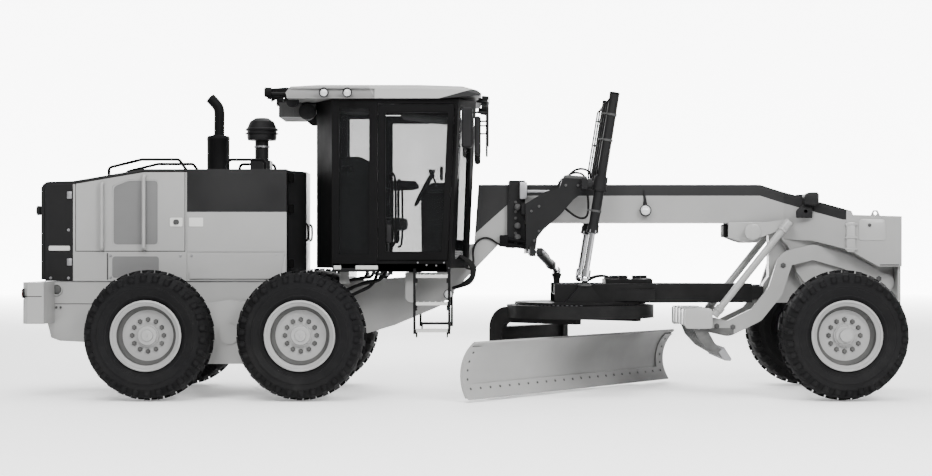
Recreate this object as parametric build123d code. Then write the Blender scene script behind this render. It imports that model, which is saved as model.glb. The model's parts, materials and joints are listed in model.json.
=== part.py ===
"""Motor grader: a six-wheel articulated grader with a circle-mounted blade and a front scarifier.

Millimetres. +X is forward, +Y is the machine's left, +Z is up. The origin lies on the ground at the
centre of the machine's box. Each piece is written to parts/NODE.step.
"""
from build123d import *
from math import atan2, cos, degrees, hypot, pi, radians, sin

# ---- driving dimensions -------------------------------------------------------------------------
# Wheels and axles
TYRE_RADIUS = 660          # out to the lug tips
TYRE_WIDTH = 445
TYRE_LUGS = 20             # lugs in each of the two rows
LUG_SHARE = 0.25           # half of a lug's top, as a share of the pitch
LUG_DEPTH = 26
RIM_RADIUS = 357           # outer edge of the rim flange
BEAD_RADIUS = 352          # tyre's inner edge, seen beside the flange
RIM_DISH = 130             # depth of the wheel disc behind the flange
HUB_RADIUS = 112
STUD_CIRCLE = 160
WHEEL_STUDS = 12
TRACK = 2080               # between the wheel centre planes of one axle
TANDEM_X = -2455           # middle of the tandem
TANDEM_SPACING = 1540
FRONT_AXLE_X = 3793
AXLE_Z = TYRE_RADIUS

# Rear frame and engine hood
HITCH_X = -1655            # articulation axis
HITCH_PIN_RADIUS = 45
FRAME_TOP_Z = 1195
FRAME_HALF = 560
TAIL_X = -4409
BUMPER_X = -4525
BUMPER_TOP_Z = 1194
HOOD_HALF = 580
HOOD_BASE_Z = 1200
HOOD_TOP_Z = 2363
HOOD_REAR_TOP_Z = 2239
HOOD_REAR_X = -4107        # seam between the hood and the cooling box
HOOD_SLOPE_X = -3380       # where the top starts to fall to the rear
HOOD_SEAM_X = -2933        # front edge of the side door
HOOD_TAPER_X = -1890       # where the front cowl starts to narrow
HOOD_NOSE_X = -1720
HOOD_NOSE_HALF = 215
HOOD_SHEET = 30            # door and panel thickness
DOOR_BASE_Z = 1505
AIR_SCREEN = [(-3700, 1565), (-3700, 2190), (-3530, 2255), (-3215, 2255), (-3215, 1565)]
ENGINE_X = (-3650, -2350)
ENGINE_HALF = 330
ENGINE_TOP_Z = 2080
COOLER_REAR_X = -4440
GRILLE_X = -4400           # seam between the cooling box and its swinging rear grille

# Front frame
BEAM_HALF = 170
BEAM_TOP_Z = 2218
BEAM_BASE_Z = 1810
BOLSTER_HALF = 250         # low, between the steered tyres
BOLSTER_TOP_HALF = 480     # above the steered tyres
BOLSTER_TOP_Z = 1876
BOLSTER_STEP_Z = 1350      # where the bolster narrows to clear the tyres
FRONT_PLATE_X = 4500
FRONT_PLATE_THICK = 30
FRONT_PLATE_HALF = 430
FRONT_PLATE_BASE_Z = 800
LIFT_EYE_X, LIFT_EYE_Z = 4365, 1918
LIFT_EYE_RADIUS = 20

AXLE_PIN_Z = 985
AXLE_PIN_RADIUS = 50
LEAN_Y, LEAN_Z = 650, 630  # wheel-lean pivots
LEAN_PIN_RADIUS = 34
KING_Y = 850               # kingpins
KING_RADIUS = 30
STEER_ARM = 250
STEER_ARM_Y = -765         # end of the right-hand steering arm
STEER_ARM_Z = 562

# Cab
CAB_HALF = 740
CAB_FLOOR_Z = 1335
CAB_TOP_Z = 3075
SILL_BASE_Z = 1295         # sill under the doors
CAB_WALL = 50
CAB_REAR_X = -1600
CAB_REAR_HALF = 330
CAB_SHOULDER_X = -1405     # where the rear corner panels reach full width
DOOR_REAR_X = -935
DOOR_FRONT_X = -180        # at the floor; the front of the cab leans forward
CAB_FRONT_X = 0
CAB_FRONT_HALF = 400
TUNNEL_TOP_Z = 1600        # inside of the floor tunnel over the front frame
TUNNEL_REAR_X = -205
TUNNEL_HALF = 190
CAB_LEAN = 80              # how far the front leans forward over the cab's height
ROOF_RISE = 144            # roof cap above the top of the cab's posts
ROOF_REAR_X = -1880
ROOF_HALF = 800
GLASS = 6

# Blade lift, saddle, drawbar, circle and blade
BALL_X = 3100              # drawbar ball joint
BALL_Z = 1070
BALL_RADIUS = 70
LIFT_Y = 500               # lift cylinders, each side of the beam
LIFT_PIVOT = (1376, 2213)  # X, Z of the trunnion
LIFT_LEAN = 9.1            # degrees from vertical, top forward
TRUNNION_RADIUS = 28
LIFT_ROD_RADIUS = 33
LIFT_BARREL_UP = 945       # barrel above the trunnion
LIFT_BARREL_DOWN = 520
LIFT_BALL_Z = 1222         # ball ends of the lift rods, over their seats on the drawbar
LIFT_BALL_RADIUS = 46
BALL_SEAT_GAP = 6
SWING_SEAT_GAP = 14
SWING_SADDLE_END = (735, -560, 1500)   # side-shift cylinder's hinge on the saddle's hanger
SWING_DRAWBAR_END = (960, 310, 1300)   # its ball, over a seat on the drawbar
SWING_PIN_RADIUS = 18
SWING_ROD_RADIUS = 30
SWING_BARREL_RADIUS = 45
SWING_BARREL_LENGTH = 620
CIRCLE_X = 1196
CIRCLE_RADIUS = 787
CIRCLE_TOP_Z = 940
CIRCLE_DEPTH = 135
DRAWBAR_TOP_Z = 1167
DRAWBAR_BASE_Z = 965
BLADE_ANGLE = 39           # degrees from square across, left end leading
BLADE_LENGTH = 3660
BLADE_BASE_Z = 30
BLADE_CHORD = 572
BLADE_TIP = 9              # degrees that the chord tips forward
BLADE_CURVE = 390          # radius of the moldboard's face
BLADE_THICK = 22
BLADE_EDGE_X = -54         # cutting edge behind the circle's centre
ARM_Y = 560                # blade arms, each side of the circle's centre
ARM_REAR = -770
PITCH_X = -262             # blade tilt axis in the circle's frame
PITCH_Z = 215

# Scarifier
SCAR_PIVOT = (4400, 1180)
SCAR_ARM_Y = 262
SCAR_ARM_THICK = 46
ROCKER = (3000, 1715)

# ---- helpers ------------------------------------------------------------------------------------


def block(x0, x1, y0, y1, z0, z1):
    """Box between two corners."""
    return Pos((x0 + x1) / 2, (y0 + y1) / 2, (z0 + z1) / 2) * Box(abs(x1 - x0), abs(y1 - y0), abs(z1 - z0))


def side_plate(points, y0, y1):
    """Outline of (X, Z) points, as thick as y0 to y1."""
    outline = Polyline(*[(x, y0, z) for x, z in points], close=True)
    return extrude(make_face(outline), amount=y1 - y0, dir=(0, 1, 0))


def plan_plate(points, z0, z1):
    """Outline of (X, Y) points, as thick as z0 to z1."""
    outline = Polyline(*[(x, y, z0) for x, y in points], close=True)
    return extrude(make_face(outline), amount=z1 - z0, dir=(0, 0, 1))


def bar(start, end, radius):
    """Round bar between two points."""
    a, b = Vector(*start), Vector(*end)
    length = (b - a).length
    plane = Plane(origin=a, z_dir=(b - a).normalized())
    return plane * (Pos(0, 0, length / 2) * Cylinder(radius, length))


def bent_bar(points, radius, bend):
    """Round bar along straight runs joined by arcs."""
    path = FilletPolyline(*points, radius=bend)
    return sweep(Plane(origin=path @ 0, z_dir=path % 0) * Circle(radius), path=path)


def across(x, y0, y1, z, radius):
    """Round bar square across the machine."""
    return bar((x, y0, z), (x, y1, z), radius)


def ball(centre, radius):
    """Ball turned as short bands, with a small flat at each pole."""
    curve = [(radius * cos(radians(a)), radius * sin(radians(a))) for a in range(-81, 82, 18)]
    outline = [(0, curve[0][1]), *curve, (0, curve[-1][1])]
    face = make_face(Polyline(*[(x, 0, z) for x, z in outline], close=True))
    return Pos(*centre) * revolve(face, axis=Axis.Z)


def mirrored(shape):
    return mirror(shape, about=Plane.XZ)


def both_sides(shape):
    """The shape and its mirror image, as solids of one node."""
    return Compound(children=[*shape.solids(), *mirrored(shape).solids()])


def many(*shapes):
    """Solids of one node that don't touch."""
    return Compound(children=[s for shape in shapes for s in shape.solids()])


def write(name, shape):
    export_step(shape, f"parts/{name}.step")


# ---- wheels -------------------------------------------------------------------------------------


def ring_ply(radius, y):
    """Polygon round the wheel axis, flats out to radius, at height y along the axle."""
    plane = Plane(origin=(0, y, 0), x_dir=(1, 0, 0), z_dir=(0, 1, 0))
    return plane * RegularPolygon(radius, 24, major_radius=False)


def lug_ring(tip, root, y, turn):
    """Outline round the wheel axis with a lug on each pitch, at height y along the axle."""
    points = []
    for lug in range(TYRE_LUGS):
        for share, radius in ((-0.5, root), (-LUG_SHARE, tip), (LUG_SHARE, tip)):
            angle = radians(360 / TYRE_LUGS * (lug + turn + share))
            points.append((radius * sin(angle), y, radius * cos(angle)))
    return make_face(Polyline(*points, close=True))


def make_tyre():
    """Casing with two rows of chunky lugs, the rows half a pitch apart."""
    half = TYRE_WIDTH / 2
    tip = TYRE_RADIUS / cos(radians(360 / TYRE_LUGS * LUG_SHARE))
    tread = TYRE_RADIUS - LUG_DEPTH
    tyre = None
    for side, turn in ((-1, 0), (1, 0.5)):
        middle = lug_ring(tip, tread, 0, turn)
        shoulder = lug_ring(tip, tread, side * (half - 60), turn)
        wall = lug_ring(tread - 70, tread - 84, side * half, turn)
        row = loft([middle, shoulder], ruled=True) + loft([shoulder, wall], ruled=True)
        tyre = row if tyre is None else tyre + row
    dish = loft([ring_ply(BEAD_RADIUS, -half + 58), ring_ply(BEAD_RADIUS + 86, -half - 0.2)], ruled=True)
    bore = loft([ring_ply(RIM_RADIUS - 45, -TYRE_WIDTH), ring_ply(RIM_RADIUS - 45, TYRE_WIDTH)], ruled=True)
    return tyre - dish - mirrored(dish) - bore


def make_rim():
    """Dished disc wheel with its flange, hub and studs; the outer face looks along -Y."""
    half = TYRE_WIDTH / 2
    face = -(half - 32)                 # outer face of the flange
    disc = face + RIM_DISH
    seat = RIM_RADIUS - 58              # inside of the drop centre
    profile = [
        (0, disc), (STUD_CIRCLE + 95, disc), (seat - 4, disc - 34), (seat, face + 26), (seat + 28, face),
        (RIM_RADIUS, face), (RIM_RADIUS - 4, face + 18), (RIM_RADIUS - 46, face + 18),
        (RIM_RADIUS - 46, half - 40), (seat, half - 40), (seat, disc + 26), (0, disc + 26),
    ]
    outline = make_face(Polyline(*[(r, y, 0) for r, y in profile], close=True))
    wheel = revolve(outline, axis=Axis.Y)
    hub = Rot(90, 0, 0) * (Pos(0, 0, -(disc - 12)) * Cylinder(HUB_RADIUS, 36))
    studs = [
        Rot(0, 360 / WHEEL_STUDS * n, 0) * Pos(STUD_CIRCLE, disc - 8, 0) * Rot(90, 0, 0) * Cylinder(15, 30)
        for n in range(WHEEL_STUDS)
    ]
    return wheel + hub + studs


def hub_drum(inner_y, steer):
    """Final-drive drum behind the disc; a steered wheel's is short, over its knuckle."""
    half = TYRE_WIDTH / 2
    disc = -(half - 32) + RIM_DISH + 20
    radius = 150 if not steer else 120
    drum = Rot(90, 0, 0) * (Pos(0, 0, -(disc + inner_y) / 2) * Cylinder(radius, inner_y - disc))
    if steer:
        drum += Rot(90, 0, 0) * (Pos(0, 0, -(disc - 60)) * Cylinder(62, 110))
    return drum


TYRE = make_tyre()
RIM = make_rim()
REAR_WHEELS = [("front", TANDEM_X + TANDEM_SPACING / 2), ("rear", TANDEM_X - TANDEM_SPACING / 2)]


def place_wheel(shape, x, side):
    """Puts a right-hand wheel piece at x; side is -1 right, +1 left."""
    placed = Pos(x, -TRACK / 2, AXLE_Z) * shape
    return placed if side < 0 else mirrored(placed)


for side, side_name in ((-1, "right"), (1, "left")):
    for place, x in REAR_WHEELS:
        write(f"tyre_{side_name}_{place}_tandem", place_wheel(TYRE, x, side))
        write(f"rim_{side_name}_{place}_tandem", place_wheel(RIM + hub_drum(205, False), x, side))
    write(f"tyre_{side_name}_steer", place_wheel(TYRE, FRONT_AXLE_X, side))
    write(f"rim_{side_name}_steer", place_wheel(RIM + hub_drum(-20, True), FRONT_AXLE_X, side))

# ---- rear frame, tandems, bumper ----------------------------------------------------------------


def make_rear_frame():
    deck = block(TAIL_X, -1900, -FRAME_HALF, FRAME_HALF, 955, FRAME_TOP_Z)
    deck -= block(TAIL_X + 300, -1980, -FRAME_HALF + 60, FRAME_HALF - 60, 940, FRAME_TOP_Z - 40)
    tail = side_plate(
        [
            (TAIL_X, 960), (TAIL_X, 880), (TAIL_X + 70, 610), (TAIL_X + 160, 577), (-3900, 560),
            (-3760, 640), (-3760, 960)
        ],
        -FRAME_HALF, FRAME_HALF
    )
    spine = side_plate(
        [(-3800, 1000), (-3800, 640), (-2900, 560), (-2050, 560), (-1880, 600), (-1880, 1190),
            (-2000, 1190)], -300, 300
    )
    fork = None
    for z0, z1 in ((1098, 1160), (610, 672)):
        ear = block(-2000, HITCH_X, -150, 150, z0, z1)
        ear += Pos(HITCH_X, 0, (z0 + z1) / 2) * Cylinder(150, z1 - z0)
        fork = ear if fork is None else fork + ear
    for z0, z1 in ((1015, 1170), (600, 756)):
        fork += Pos(HITCH_X, 0, (z0 + z1) / 2) * Cylinder(HITCH_PIN_RADIUS, z1 - z0)
    axle = across(TANDEM_X, -595, 595, AXLE_Z, 170)
    return deck + tail + spine + fork + axle


def make_tandem_case():
    """Chain case of the right-hand tandem, with the hubs' bosses and the pivot cover."""
    front, rear = TANDEM_X + TANDEM_SPACING / 2, TANDEM_X - TANDEM_SPACING / 2
    outline = [
        (rear - 190, 560), (rear - 120, 420), (TANDEM_X - 480, 352), (TANDEM_X + 480, 352),
        (front + 120, 420),
        (front + 190, 560), (front + 190, 760), (front + 110, 900), (TANDEM_X + 160, 985), (TANDEM_X, 1008),
        (TANDEM_X - 160, 985), (rear - 110, 900), (rear - 190, 760),
    ]
    case = side_plate(outline, -790, -600)
    case += across(TANDEM_X, -806, -780, AXLE_Z, 105)
    return case


def make_bumper():
    """Ballast bumper across the tail, split by a groove."""
    bumper = block(BUMPER_X, TAIL_X - 5, -1010, 1010, 770, BUMPER_TOP_Z)
    bumper = chamfer(bumper.edges().filter_by(Axis.Z).sort_by(Axis.X)[:2], 60)
    bumper -= block(BUMPER_X - 5, BUMPER_X + 12, -1020, 1020, 1022, 1034)
    wings = block(TAIL_X - 5, -4301, -1010, -FRAME_HALF - 8, 770, BUMPER_TOP_Z)
    return bumper + wings + mirrored(wings)


write("rear_frame", make_rear_frame())
write("tandem_cases", both_sides(make_tandem_case()))
write("rear_bumper", make_bumper())
write("engine", block(*ENGINE_X, -ENGINE_HALF, ENGINE_HALF, FRAME_TOP_Z + 10, ENGINE_TOP_Z))

# ---- hood ---------------------------------------------------------------------------------------
HOOD_OUTLINE = [
    (HOOD_REAR_X, HOOD_BASE_Z), (HOOD_REAR_X, HOOD_REAR_TOP_Z), (HOOD_SLOPE_X, HOOD_TOP_Z),
    (HOOD_TAPER_X, HOOD_TOP_Z),
    (HOOD_TAPER_X, HOOD_BASE_Z),
]
DOOR_GAP = 8


def hood_door_outline(gap):
    """Side door of the hood, inside its opening by gap."""
    slope = (HOOD_TOP_Z - HOOD_REAR_TOP_Z) / (HOOD_SLOPE_X - HOOD_REAR_X)
    x0, x1, z0 = HOOD_REAR_X + 22 + gap, HOOD_SEAM_X - 8 - gap, DOOR_BASE_Z + gap
    drop = 24 + gap
    return [
        (x0, z0), (x0, HOOD_REAR_TOP_Z + slope * (x0 - HOOD_REAR_X) - drop),
        (HOOD_SLOPE_X, HOOD_TOP_Z - drop),
        (x1, HOOD_TOP_Z - drop), (x1, z0),
    ]


def make_hood():
    body = side_plate(HOOD_OUTLINE, -HOOD_HALF, HOOD_HALF)
    inner = [
        (HOOD_REAR_X + 25, HOOD_BASE_Z - 10), (HOOD_REAR_X + 25, HOOD_REAR_TOP_Z - 36),
        (HOOD_SLOPE_X, HOOD_TOP_Z - 34),
        (HOOD_TAPER_X + 1, HOOD_TOP_Z - 34), (HOOD_TAPER_X + 1, HOOD_BASE_Z - 10),
    ]
    body -= side_plate(inner, -HOOD_HALF + HOOD_SHEET, HOOD_HALF - HOOD_SHEET)
    door_hole = side_plate(hood_door_outline(0), -HOOD_HALF - 5, -HOOD_HALF + HOOD_SHEET + 5)
    body -= door_hole
    body -= mirrored(door_hole)
    nose = plan_plate(
        [(HOOD_TAPER_X, -HOOD_HALF), (HOOD_NOSE_X, -HOOD_NOSE_HALF), (HOOD_NOSE_X, HOOD_NOSE_HALF),
            (HOOD_TAPER_X, HOOD_HALF)],
        HOOD_BASE_Z, HOOD_TOP_Z - 12,
    )
    nose -= plan_plate(
        [(HOOD_TAPER_X - 1, -HOOD_HALF + 40), (HOOD_NOSE_X - 30, -HOOD_NOSE_HALF + 12),
            (HOOD_NOSE_X - 30, HOOD_NOSE_HALF - 12),
         (HOOD_TAPER_X - 1, HOOD_HALF - 40)],
        HOOD_BASE_Z - 10, HOOD_TOP_Z - 46,
    )
    # groove at the seam of the front side panel, and round the screwed lower panels
    groove = block(
        HOOD_SEAM_X + 2, HOOD_SEAM_X + 14, -HOOD_HALF - 5, -HOOD_HALF + 8, HOOD_BASE_Z,
        HOOD_TOP_Z - 20
    )
    groove += block(HOOD_SEAM_X + 14, HOOD_TAPER_X - 12, -HOOD_HALF - 5, -HOOD_HALF + 8, 1496, 1504)
    body -= groove
    body -= mirrored(groove)
    wedge = Polyline(
        (HOOD_SEAM_X + 40, -HOOD_HALF + 4, 1290), (HOOD_TAPER_X - 20, -HOOD_HALF + 4, 1480),
        (HOOD_TAPER_X - 60, -HOOD_HALF + 4, 1225), (HOOD_SEAM_X + 40, -HOOD_HALF + 4, 1225), close=True,
    )
    ledge = extrude(make_face(wedge), amount=-24, dir=(0, 1, 0))
    body = body + nose + ledge + mirrored(ledge)
    return body


def make_hood_door():
    """Right-hand side door with its air screen frame and two grab bars."""
    door = side_plate(hood_door_outline(DOOR_GAP), -HOOD_HALF, -HOOD_HALF + HOOD_SHEET)
    screen = side_plate(AIR_SCREEN, -HOOD_HALF - 1, -HOOD_HALF + 10)
    door -= fillet(screen.edges().filter_by(Axis.Y), 40)
    for x, low, high in ((-3800, 1530, 2210), (-3365, 1530, 2290)):
        grab = bent_bar(
            [
                (x, -HOOD_HALF + 14, low), (x, -HOOD_HALF - 45, low), (x, -HOOD_HALF - 45, high),
                (x, -HOOD_HALF + 14, high)
            ],
            19, 26
        )
        door += grab
    return door


def make_cooler_box():
    """Shell of the cooling package at the tail, open to the rear."""
    outline = [
        (GRILLE_X, HOOD_BASE_Z), (GRILLE_X, 2222), (GRILLE_X + 30, 2232),
        (HOOD_REAR_X - 4, HOOD_REAR_TOP_Z),
        (HOOD_REAR_X - 4, HOOD_BASE_Z),
    ]
    box = side_plate(outline, -HOOD_HALF + 6, HOOD_HALF - 6)
    return box - block(GRILLE_X - 5, GRILLE_X + 190, -500, 500, 1270, 2160)


def make_grille():
    """Rear door of the cooling package: a frame with bars, and hinge barrels on its right-hand edge."""
    half = HOOD_HALF - 6
    door = side_plate(
        [
            (COOLER_REAR_X, 1214), (COOLER_REAR_X, 2170), (COOLER_REAR_X + 22, 2205),
            (GRILLE_X - 6, 2214), (GRILLE_X - 6, 1214)
        ],
        -half, half
    )
    door -= block(COOLER_REAR_X - 5, GRILLE_X, -470, 470, 1300, 2120)
    door += [block(COOLER_REAR_X + 6, GRILLE_X - 10, -475, 475, z, z + 26) for z in range(1350, 2100, 84)]
    door += [block(COOLER_REAR_X + 4, GRILLE_X - 12, y - 12, y + 12, 1295, 2125) for y in (-160, 160)]
    return door


HOOD = make_hood()
write("hood", HOOD)
DOOR = make_hood_door()
write("hood_door_right", DOOR)
write("hood_door_left", mirrored(DOOR))
write("cooler_box", make_cooler_box())
write("rear_grille", make_grille())


def make_exhaust():
    """Muffler standing on the hood, with a stack that turns rearward."""
    x = -2687
    muffler = bar((x, 0, HOOD_TOP_Z), (x, 0, 2748), 122)
    muffler = chamfer(muffler.edges().sort_by(Axis.Z)[-1:], 14)
    stack = bent_bar([(x + 10, 0, 2740), (x + 10, 0, 3010), (x - 85, 0, 3150)], 57, 160)
    return muffler + stack


def make_air_intake():
    """Pre-cleaner dome on its neck and base."""
    x = -2219
    base = block(x - 110, x + 100, -110, 110, HOOD_TOP_Z, 2480)
    neck = bar((x, 0, 2470), (x, 0, 2712), 74)
    profile = [(0, 2700), (150, 2700), (158, 2730), (158, 2800), (174, 2806), (174, 2822), (158, 2830),
        (128, 2900), (70, 2938), (0, 2941)]
    dome = revolve(make_face(Polyline(*[(x + r, 0, z) for r, z in profile], close=True)),
        axis=Axis((x, 0, 0), (0, 0, 1)))
    return base + neck + dome


def make_hood_rails():
    """Grab rails along both edges of the hood top."""
    y = -440
    rear = bent_bar(
        [(-3765, y, 2290), (-3765, y, 2385), (-3420, y, 2470), (-3030, y, 2470), (-2950, y, 2355)], 15, 40
    )
    front = bent_bar([(-2520, y, 2355), (-2520, y, 2468), (-2130, y, 2468), (-2130, y, 2355)], 15, 45)
    return both_sides(many(rear, front))


write("exhaust", make_exhaust())
write("air_intake", make_air_intake())
write("hood_rails", many(make_hood_rails() - HOOD))

# ---- front frame --------------------------------------------------------------------------------


def make_front_frame():
    """Box beam with its gooseneck down to the articulation, and the bolster over the front axle."""
    spine = [
        (105, BEAM_TOP_Z), (3100, BEAM_TOP_Z), (4004, 1930), (4004, 1180), (3560, 1120),
        (3480, 1300), (3400, 1560), (3180, BEAM_BASE_Z), (640, BEAM_BASE_Z), (520, 1790),
        (335, 1597), (-144, 1098), (-303, 927), (-782, 725), (-1069, 640), (-1380, 610),
        (-1430, 690), (-1430, 1080), (-1380, 1180), (-300, 1262), (-180, 1330),
        (-150, TUNNEL_TOP_Z - 30), (60, TUNNEL_TOP_Z - 10)
    ]
    frame = side_plate(spine, -BEAM_HALF, BEAM_HALF)
    for z0, z1 in ((1026, 1090), (680, 744)):
        ear = block(HITCH_X, -1400, -130, 130, z0, z1)
        ear += Pos(HITCH_X, 0, (z0 + z1) / 2) * Cylinder(130, z1 - z0)
        ear -= Pos(HITCH_X, 0, (z0 + z1) / 2) * Cylinder(HITCH_PIN_RADIUS + 1, z1 - z0 + 10)
        frame += ear
    for x, low in ((-1340, 1170), (-330, 1240)):
        frame += block(x, x + 100, -560, 560, low, 1318)
        for side in (-1, 1):
            frame += Pos(x + 50, side * 480, 1326) * Cylinder(45, 18)
    flare = plan_plate(
        [
            (3350, -BEAM_HALF), (3700, -BOLSTER_HALF), (FRONT_PLATE_X, -BOLSTER_HALF),
            (FRONT_PLATE_X, BOLSTER_HALF), (3700, BOLSTER_HALF), (3350, BEAM_HALF)
        ],
        1180, 2220
    )
    roofline = side_plate(
        [
            (3200, 2188), (4004, 1930), (4020, 1890), (FRONT_PLATE_X + 10, BOLSTER_TOP_Z),
            (FRONT_PLATE_X + 10, 2400), (3200, 2400)
        ],
        -600, 600
    )
    belly = side_plate(
        [(3300, 1100), (3300, 1750), (3400, 1560), (3480, 1300), (3570, 1170), (3570, 1100)], -600,
        600
    )
    flare = flare - roofline - belly
    foot = block(3610, 3980, -150, 150, 905, 1200)
    foot -= block(3700, 3890, -160, 160, 890, 1075)
    foot -= bar((3600, 0, AXLE_PIN_Z), (3990, 0, AXLE_PIN_Z), AXLE_PIN_RADIUS + 0.5)
    frame = frame + flare + foot
    shoulder = plan_plate(
        [(3350, -BEAM_HALF), (3950, -BOLSTER_TOP_HALF), (FRONT_PLATE_X, -BOLSTER_TOP_HALF),
         (FRONT_PLATE_X, BOLSTER_TOP_HALF), (3950, BOLSTER_TOP_HALF), (3350, BEAM_HALF)],
        BOLSTER_STEP_Z, 2220,
    )
    arm_space = side_plate(
        [
            (3200, 1650), (3640, 1620), (3990, 1520), (4180, 1410), (4290, BOLSTER_STEP_Z),
            (4290, 1000), (3200, 1000)
        ],
        -600, 600
    )
    frame += shoulder - roofline - arm_space
    front = FRONT_PLATE_X + FRONT_PLATE_THICK
    frame += block(FRONT_PLATE_X, front, -BOLSTER_TOP_HALF, BOLSTER_TOP_HALF, BOLSTER_STEP_Z, BOLSTER_TOP_Z)
    frame += block(
        FRONT_PLATE_X, front, -FRONT_PLATE_HALF, FRONT_PLATE_HALF, FRONT_PLATE_BASE_Z,
        BOLSTER_STEP_Z
    )
    # the lifting eye and the drawbar ball's bracket
    x, z = LIFT_EYE_X, LIFT_EYE_Z
    eye = side_plate([(x - 60, BOLSTER_TOP_Z - 6), (x - 22, z + 32), (x + 22, z + 32),
        (x + 60, BOLSTER_TOP_Z - 6)], -14, 14)
    frame += eye - across(x, -20, 20, z, LIFT_EYE_RADIUS)
    bracket = side_plate(
        [(3210, 1815), (3210, 1240), (3150, 1160), (3150, 960), (3560, 960), (3620, 1200)], -70, 70
    )
    centre = (BALL_X, 0, BALL_Z)
    return frame + bracket + ball(centre, BALL_RADIUS) + bar(centre, (BALL_X + 80, 0, BALL_Z), 45)


def make_front_axle():
    """Arched axle beam hung on the centre pin, with a fork eye for the lean pivot at each end."""
    beam = [
        (-600, 560), (-600, 700), (-330, 720), (-120, 800), (-90, 1060), (90, 1060), (120, 800), (330, 720),
        (600, 700), (600, 560), (330, 540), (0, 600), (-330, 540),
    ]
    outline = Polyline(*[(FRONT_AXLE_X - 70, y, z) for y, z in beam], close=True)
    axle = extrude(make_face(outline), amount=140, dir=(1, 0, 0))
    axle += bar((3590, 0, AXLE_PIN_Z), (4000, 0, AXLE_PIN_Z), AXLE_PIN_RADIUS)
    for side in (-1, 1):
        y = side * LEAN_Y
        axle += bar((FRONT_AXLE_X - 70, y, LEAN_Z), (FRONT_AXLE_X + 70, y, LEAN_Z), 50)
        axle += block(FRONT_AXLE_X - 70, FRONT_AXLE_X + 70, side * 590, y, LEAN_Z - 48, LEAN_Z + 48)
        axle -= bar((FRONT_AXLE_X - 80, y, LEAN_Z), (FRONT_AXLE_X + 80, y, LEAN_Z), LEAN_PIN_RADIUS + 1)
    return axle


def make_lean_yoke():
    """Right-hand lean support: pivots on the axle end and carries the kingpin."""
    x = FRONT_AXLE_X
    yoke = bar((x - 150, -LEAN_Y, LEAN_Z), (x + 150, -LEAN_Y, LEAN_Z), LEAN_PIN_RADIUS)
    for side in (-1, 1):
        yoke += block(x + side * 80, x + side * 140, -LEAN_Y - 110, -LEAN_Y + 45, LEAN_Z - 42, LEAN_Z + 42)
    yoke += block(x - 140, x + 140, -LEAN_Y - 110, -LEAN_Y - 60, LEAN_Z - 42, LEAN_Z + 42)
    yoke += block(x - 60, x + 60, -LEAN_Y - 110, -LEAN_Y - 60, 480, 850)
    yoke += block(x - 60, x + 60, -KING_Y - 55, -LEAN_Y - 62, 800, 850)
    yoke += block(x - 60, x + 60, -KING_Y - 55, -LEAN_Y - 62, 480, 530)
    arm_slot = block(x - 61, x + 8, -LEAN_Y - 115, -LEAN_Y - 55, STEER_ARM_Z - 25, STEER_ARM_Z + 25)
    return yoke - arm_slot + bar((x, -KING_Y, 470), (x, -KING_Y, 862), KING_RADIUS)


def make_knuckle():
    """Right-hand steering knuckle: sleeve on the kingpin, spindle and steering arm."""
    x, tip, low = FRONT_AXLE_X, FRONT_AXLE_X - STEER_ARM, STEER_ARM_Z - 17
    body = bar((x, -KING_Y, 538), (x, -KING_Y, 792), 62)
    body += bar((x, -KING_Y, AXLE_Z), (x, -TRACK / 2 + 30, AXLE_Z), 70)
    arm = plan_plate([(x, -KING_Y - 30), (tip, STEER_ARM_Y - 26), (tip, STEER_ARM_Y + 26),
        (x, -KING_Y + 45)], low, low + 34)
    body += arm + Pos(tip, STEER_ARM_Y, STEER_ARM_Z) * Cylinder(34, 34)
    return body - bar((x, -KING_Y, 450), (x, -KING_Y, 900), KING_RADIUS + 1)


write("front_frame", make_front_frame())
write("front_axle", make_front_axle())
YOKE, KNUCKLE = make_lean_yoke(), make_knuckle()
write("lean_yoke_right", YOKE)
write("lean_yoke_left", mirrored(YOKE))
write("knuckle_right", KNUCKLE)
write("knuckle_left", mirrored(KNUCKLE))
write("tie_rod", across(FRONT_AXLE_X - STEER_ARM, -690, 690, STEER_ARM_Z, 24))

# ---- cab ----------------------------------------------------------------------------------------


def cab_plan(inset, shift):
    """Half-hexagon plan of the cab, in from its outer faces by inset, moved forward at the front by shift."""
    half = [
        (CAB_REAR_X + inset, CAB_REAR_HALF - inset * 0.25),
        (CAB_SHOULDER_X + inset * 0.7, CAB_HALF - inset),
        (DOOR_FRONT_X - inset * 0.4 + shift, CAB_HALF - inset),
        (CAB_FRONT_X - inset + shift, CAB_FRONT_HALF - inset * 0.4),
    ]
    return half + [(x, -y) for x, y in reversed(half)]


def cab_solid(inset, z0, z1):
    """Cab prism between two heights, its front leaning forward."""
    lean = CAB_LEAN / (CAB_TOP_Z - CAB_FLOOR_Z)
    faces = []
    for z in (z0, z1):
        points = [(x, y, z) for x, y in cab_plan(inset, lean * (z - CAB_FLOOR_Z))]
        faces.append(make_face(Polyline(*points, close=True)))
    return loft(faces, ruled=True)


SILL_Z = CAB_FLOOR_Z + 75
SCREEN_BASE_Z = TUNNEL_TOP_Z + 55
SCREEN_TOP_Z = CAB_TOP_Z - 85
SCREEN_HALF = CAB_FRONT_HALF - 60
DOOR_TOP_Z = CAB_TOP_Z - 45
REAR_SCREEN = (2050, CAB_TOP_Z - 115)
REAR_SCREEN_HALF = 270
PANE_INSET = 22
CORNER_POST = 62            # half of the post between two panes


def front_x(z, base):
    """X of a line that leans with the cab's front."""
    return base + CAB_LEAN * (z - CAB_FLOOR_Z) / (CAB_TOP_Z - CAB_FLOOR_Z)


def door_outline(gap):
    return [
        (DOOR_REAR_X + gap, SILL_Z + gap), (DOOR_REAR_X + gap, DOOR_TOP_Z - gap),
        (front_x(DOOR_TOP_Z, DOOR_FRONT_X - 30) - gap, DOOR_TOP_Z - gap),
        (front_x(SILL_Z, DOOR_FRONT_X - 30) - gap, SILL_Z + gap),
    ]


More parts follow.
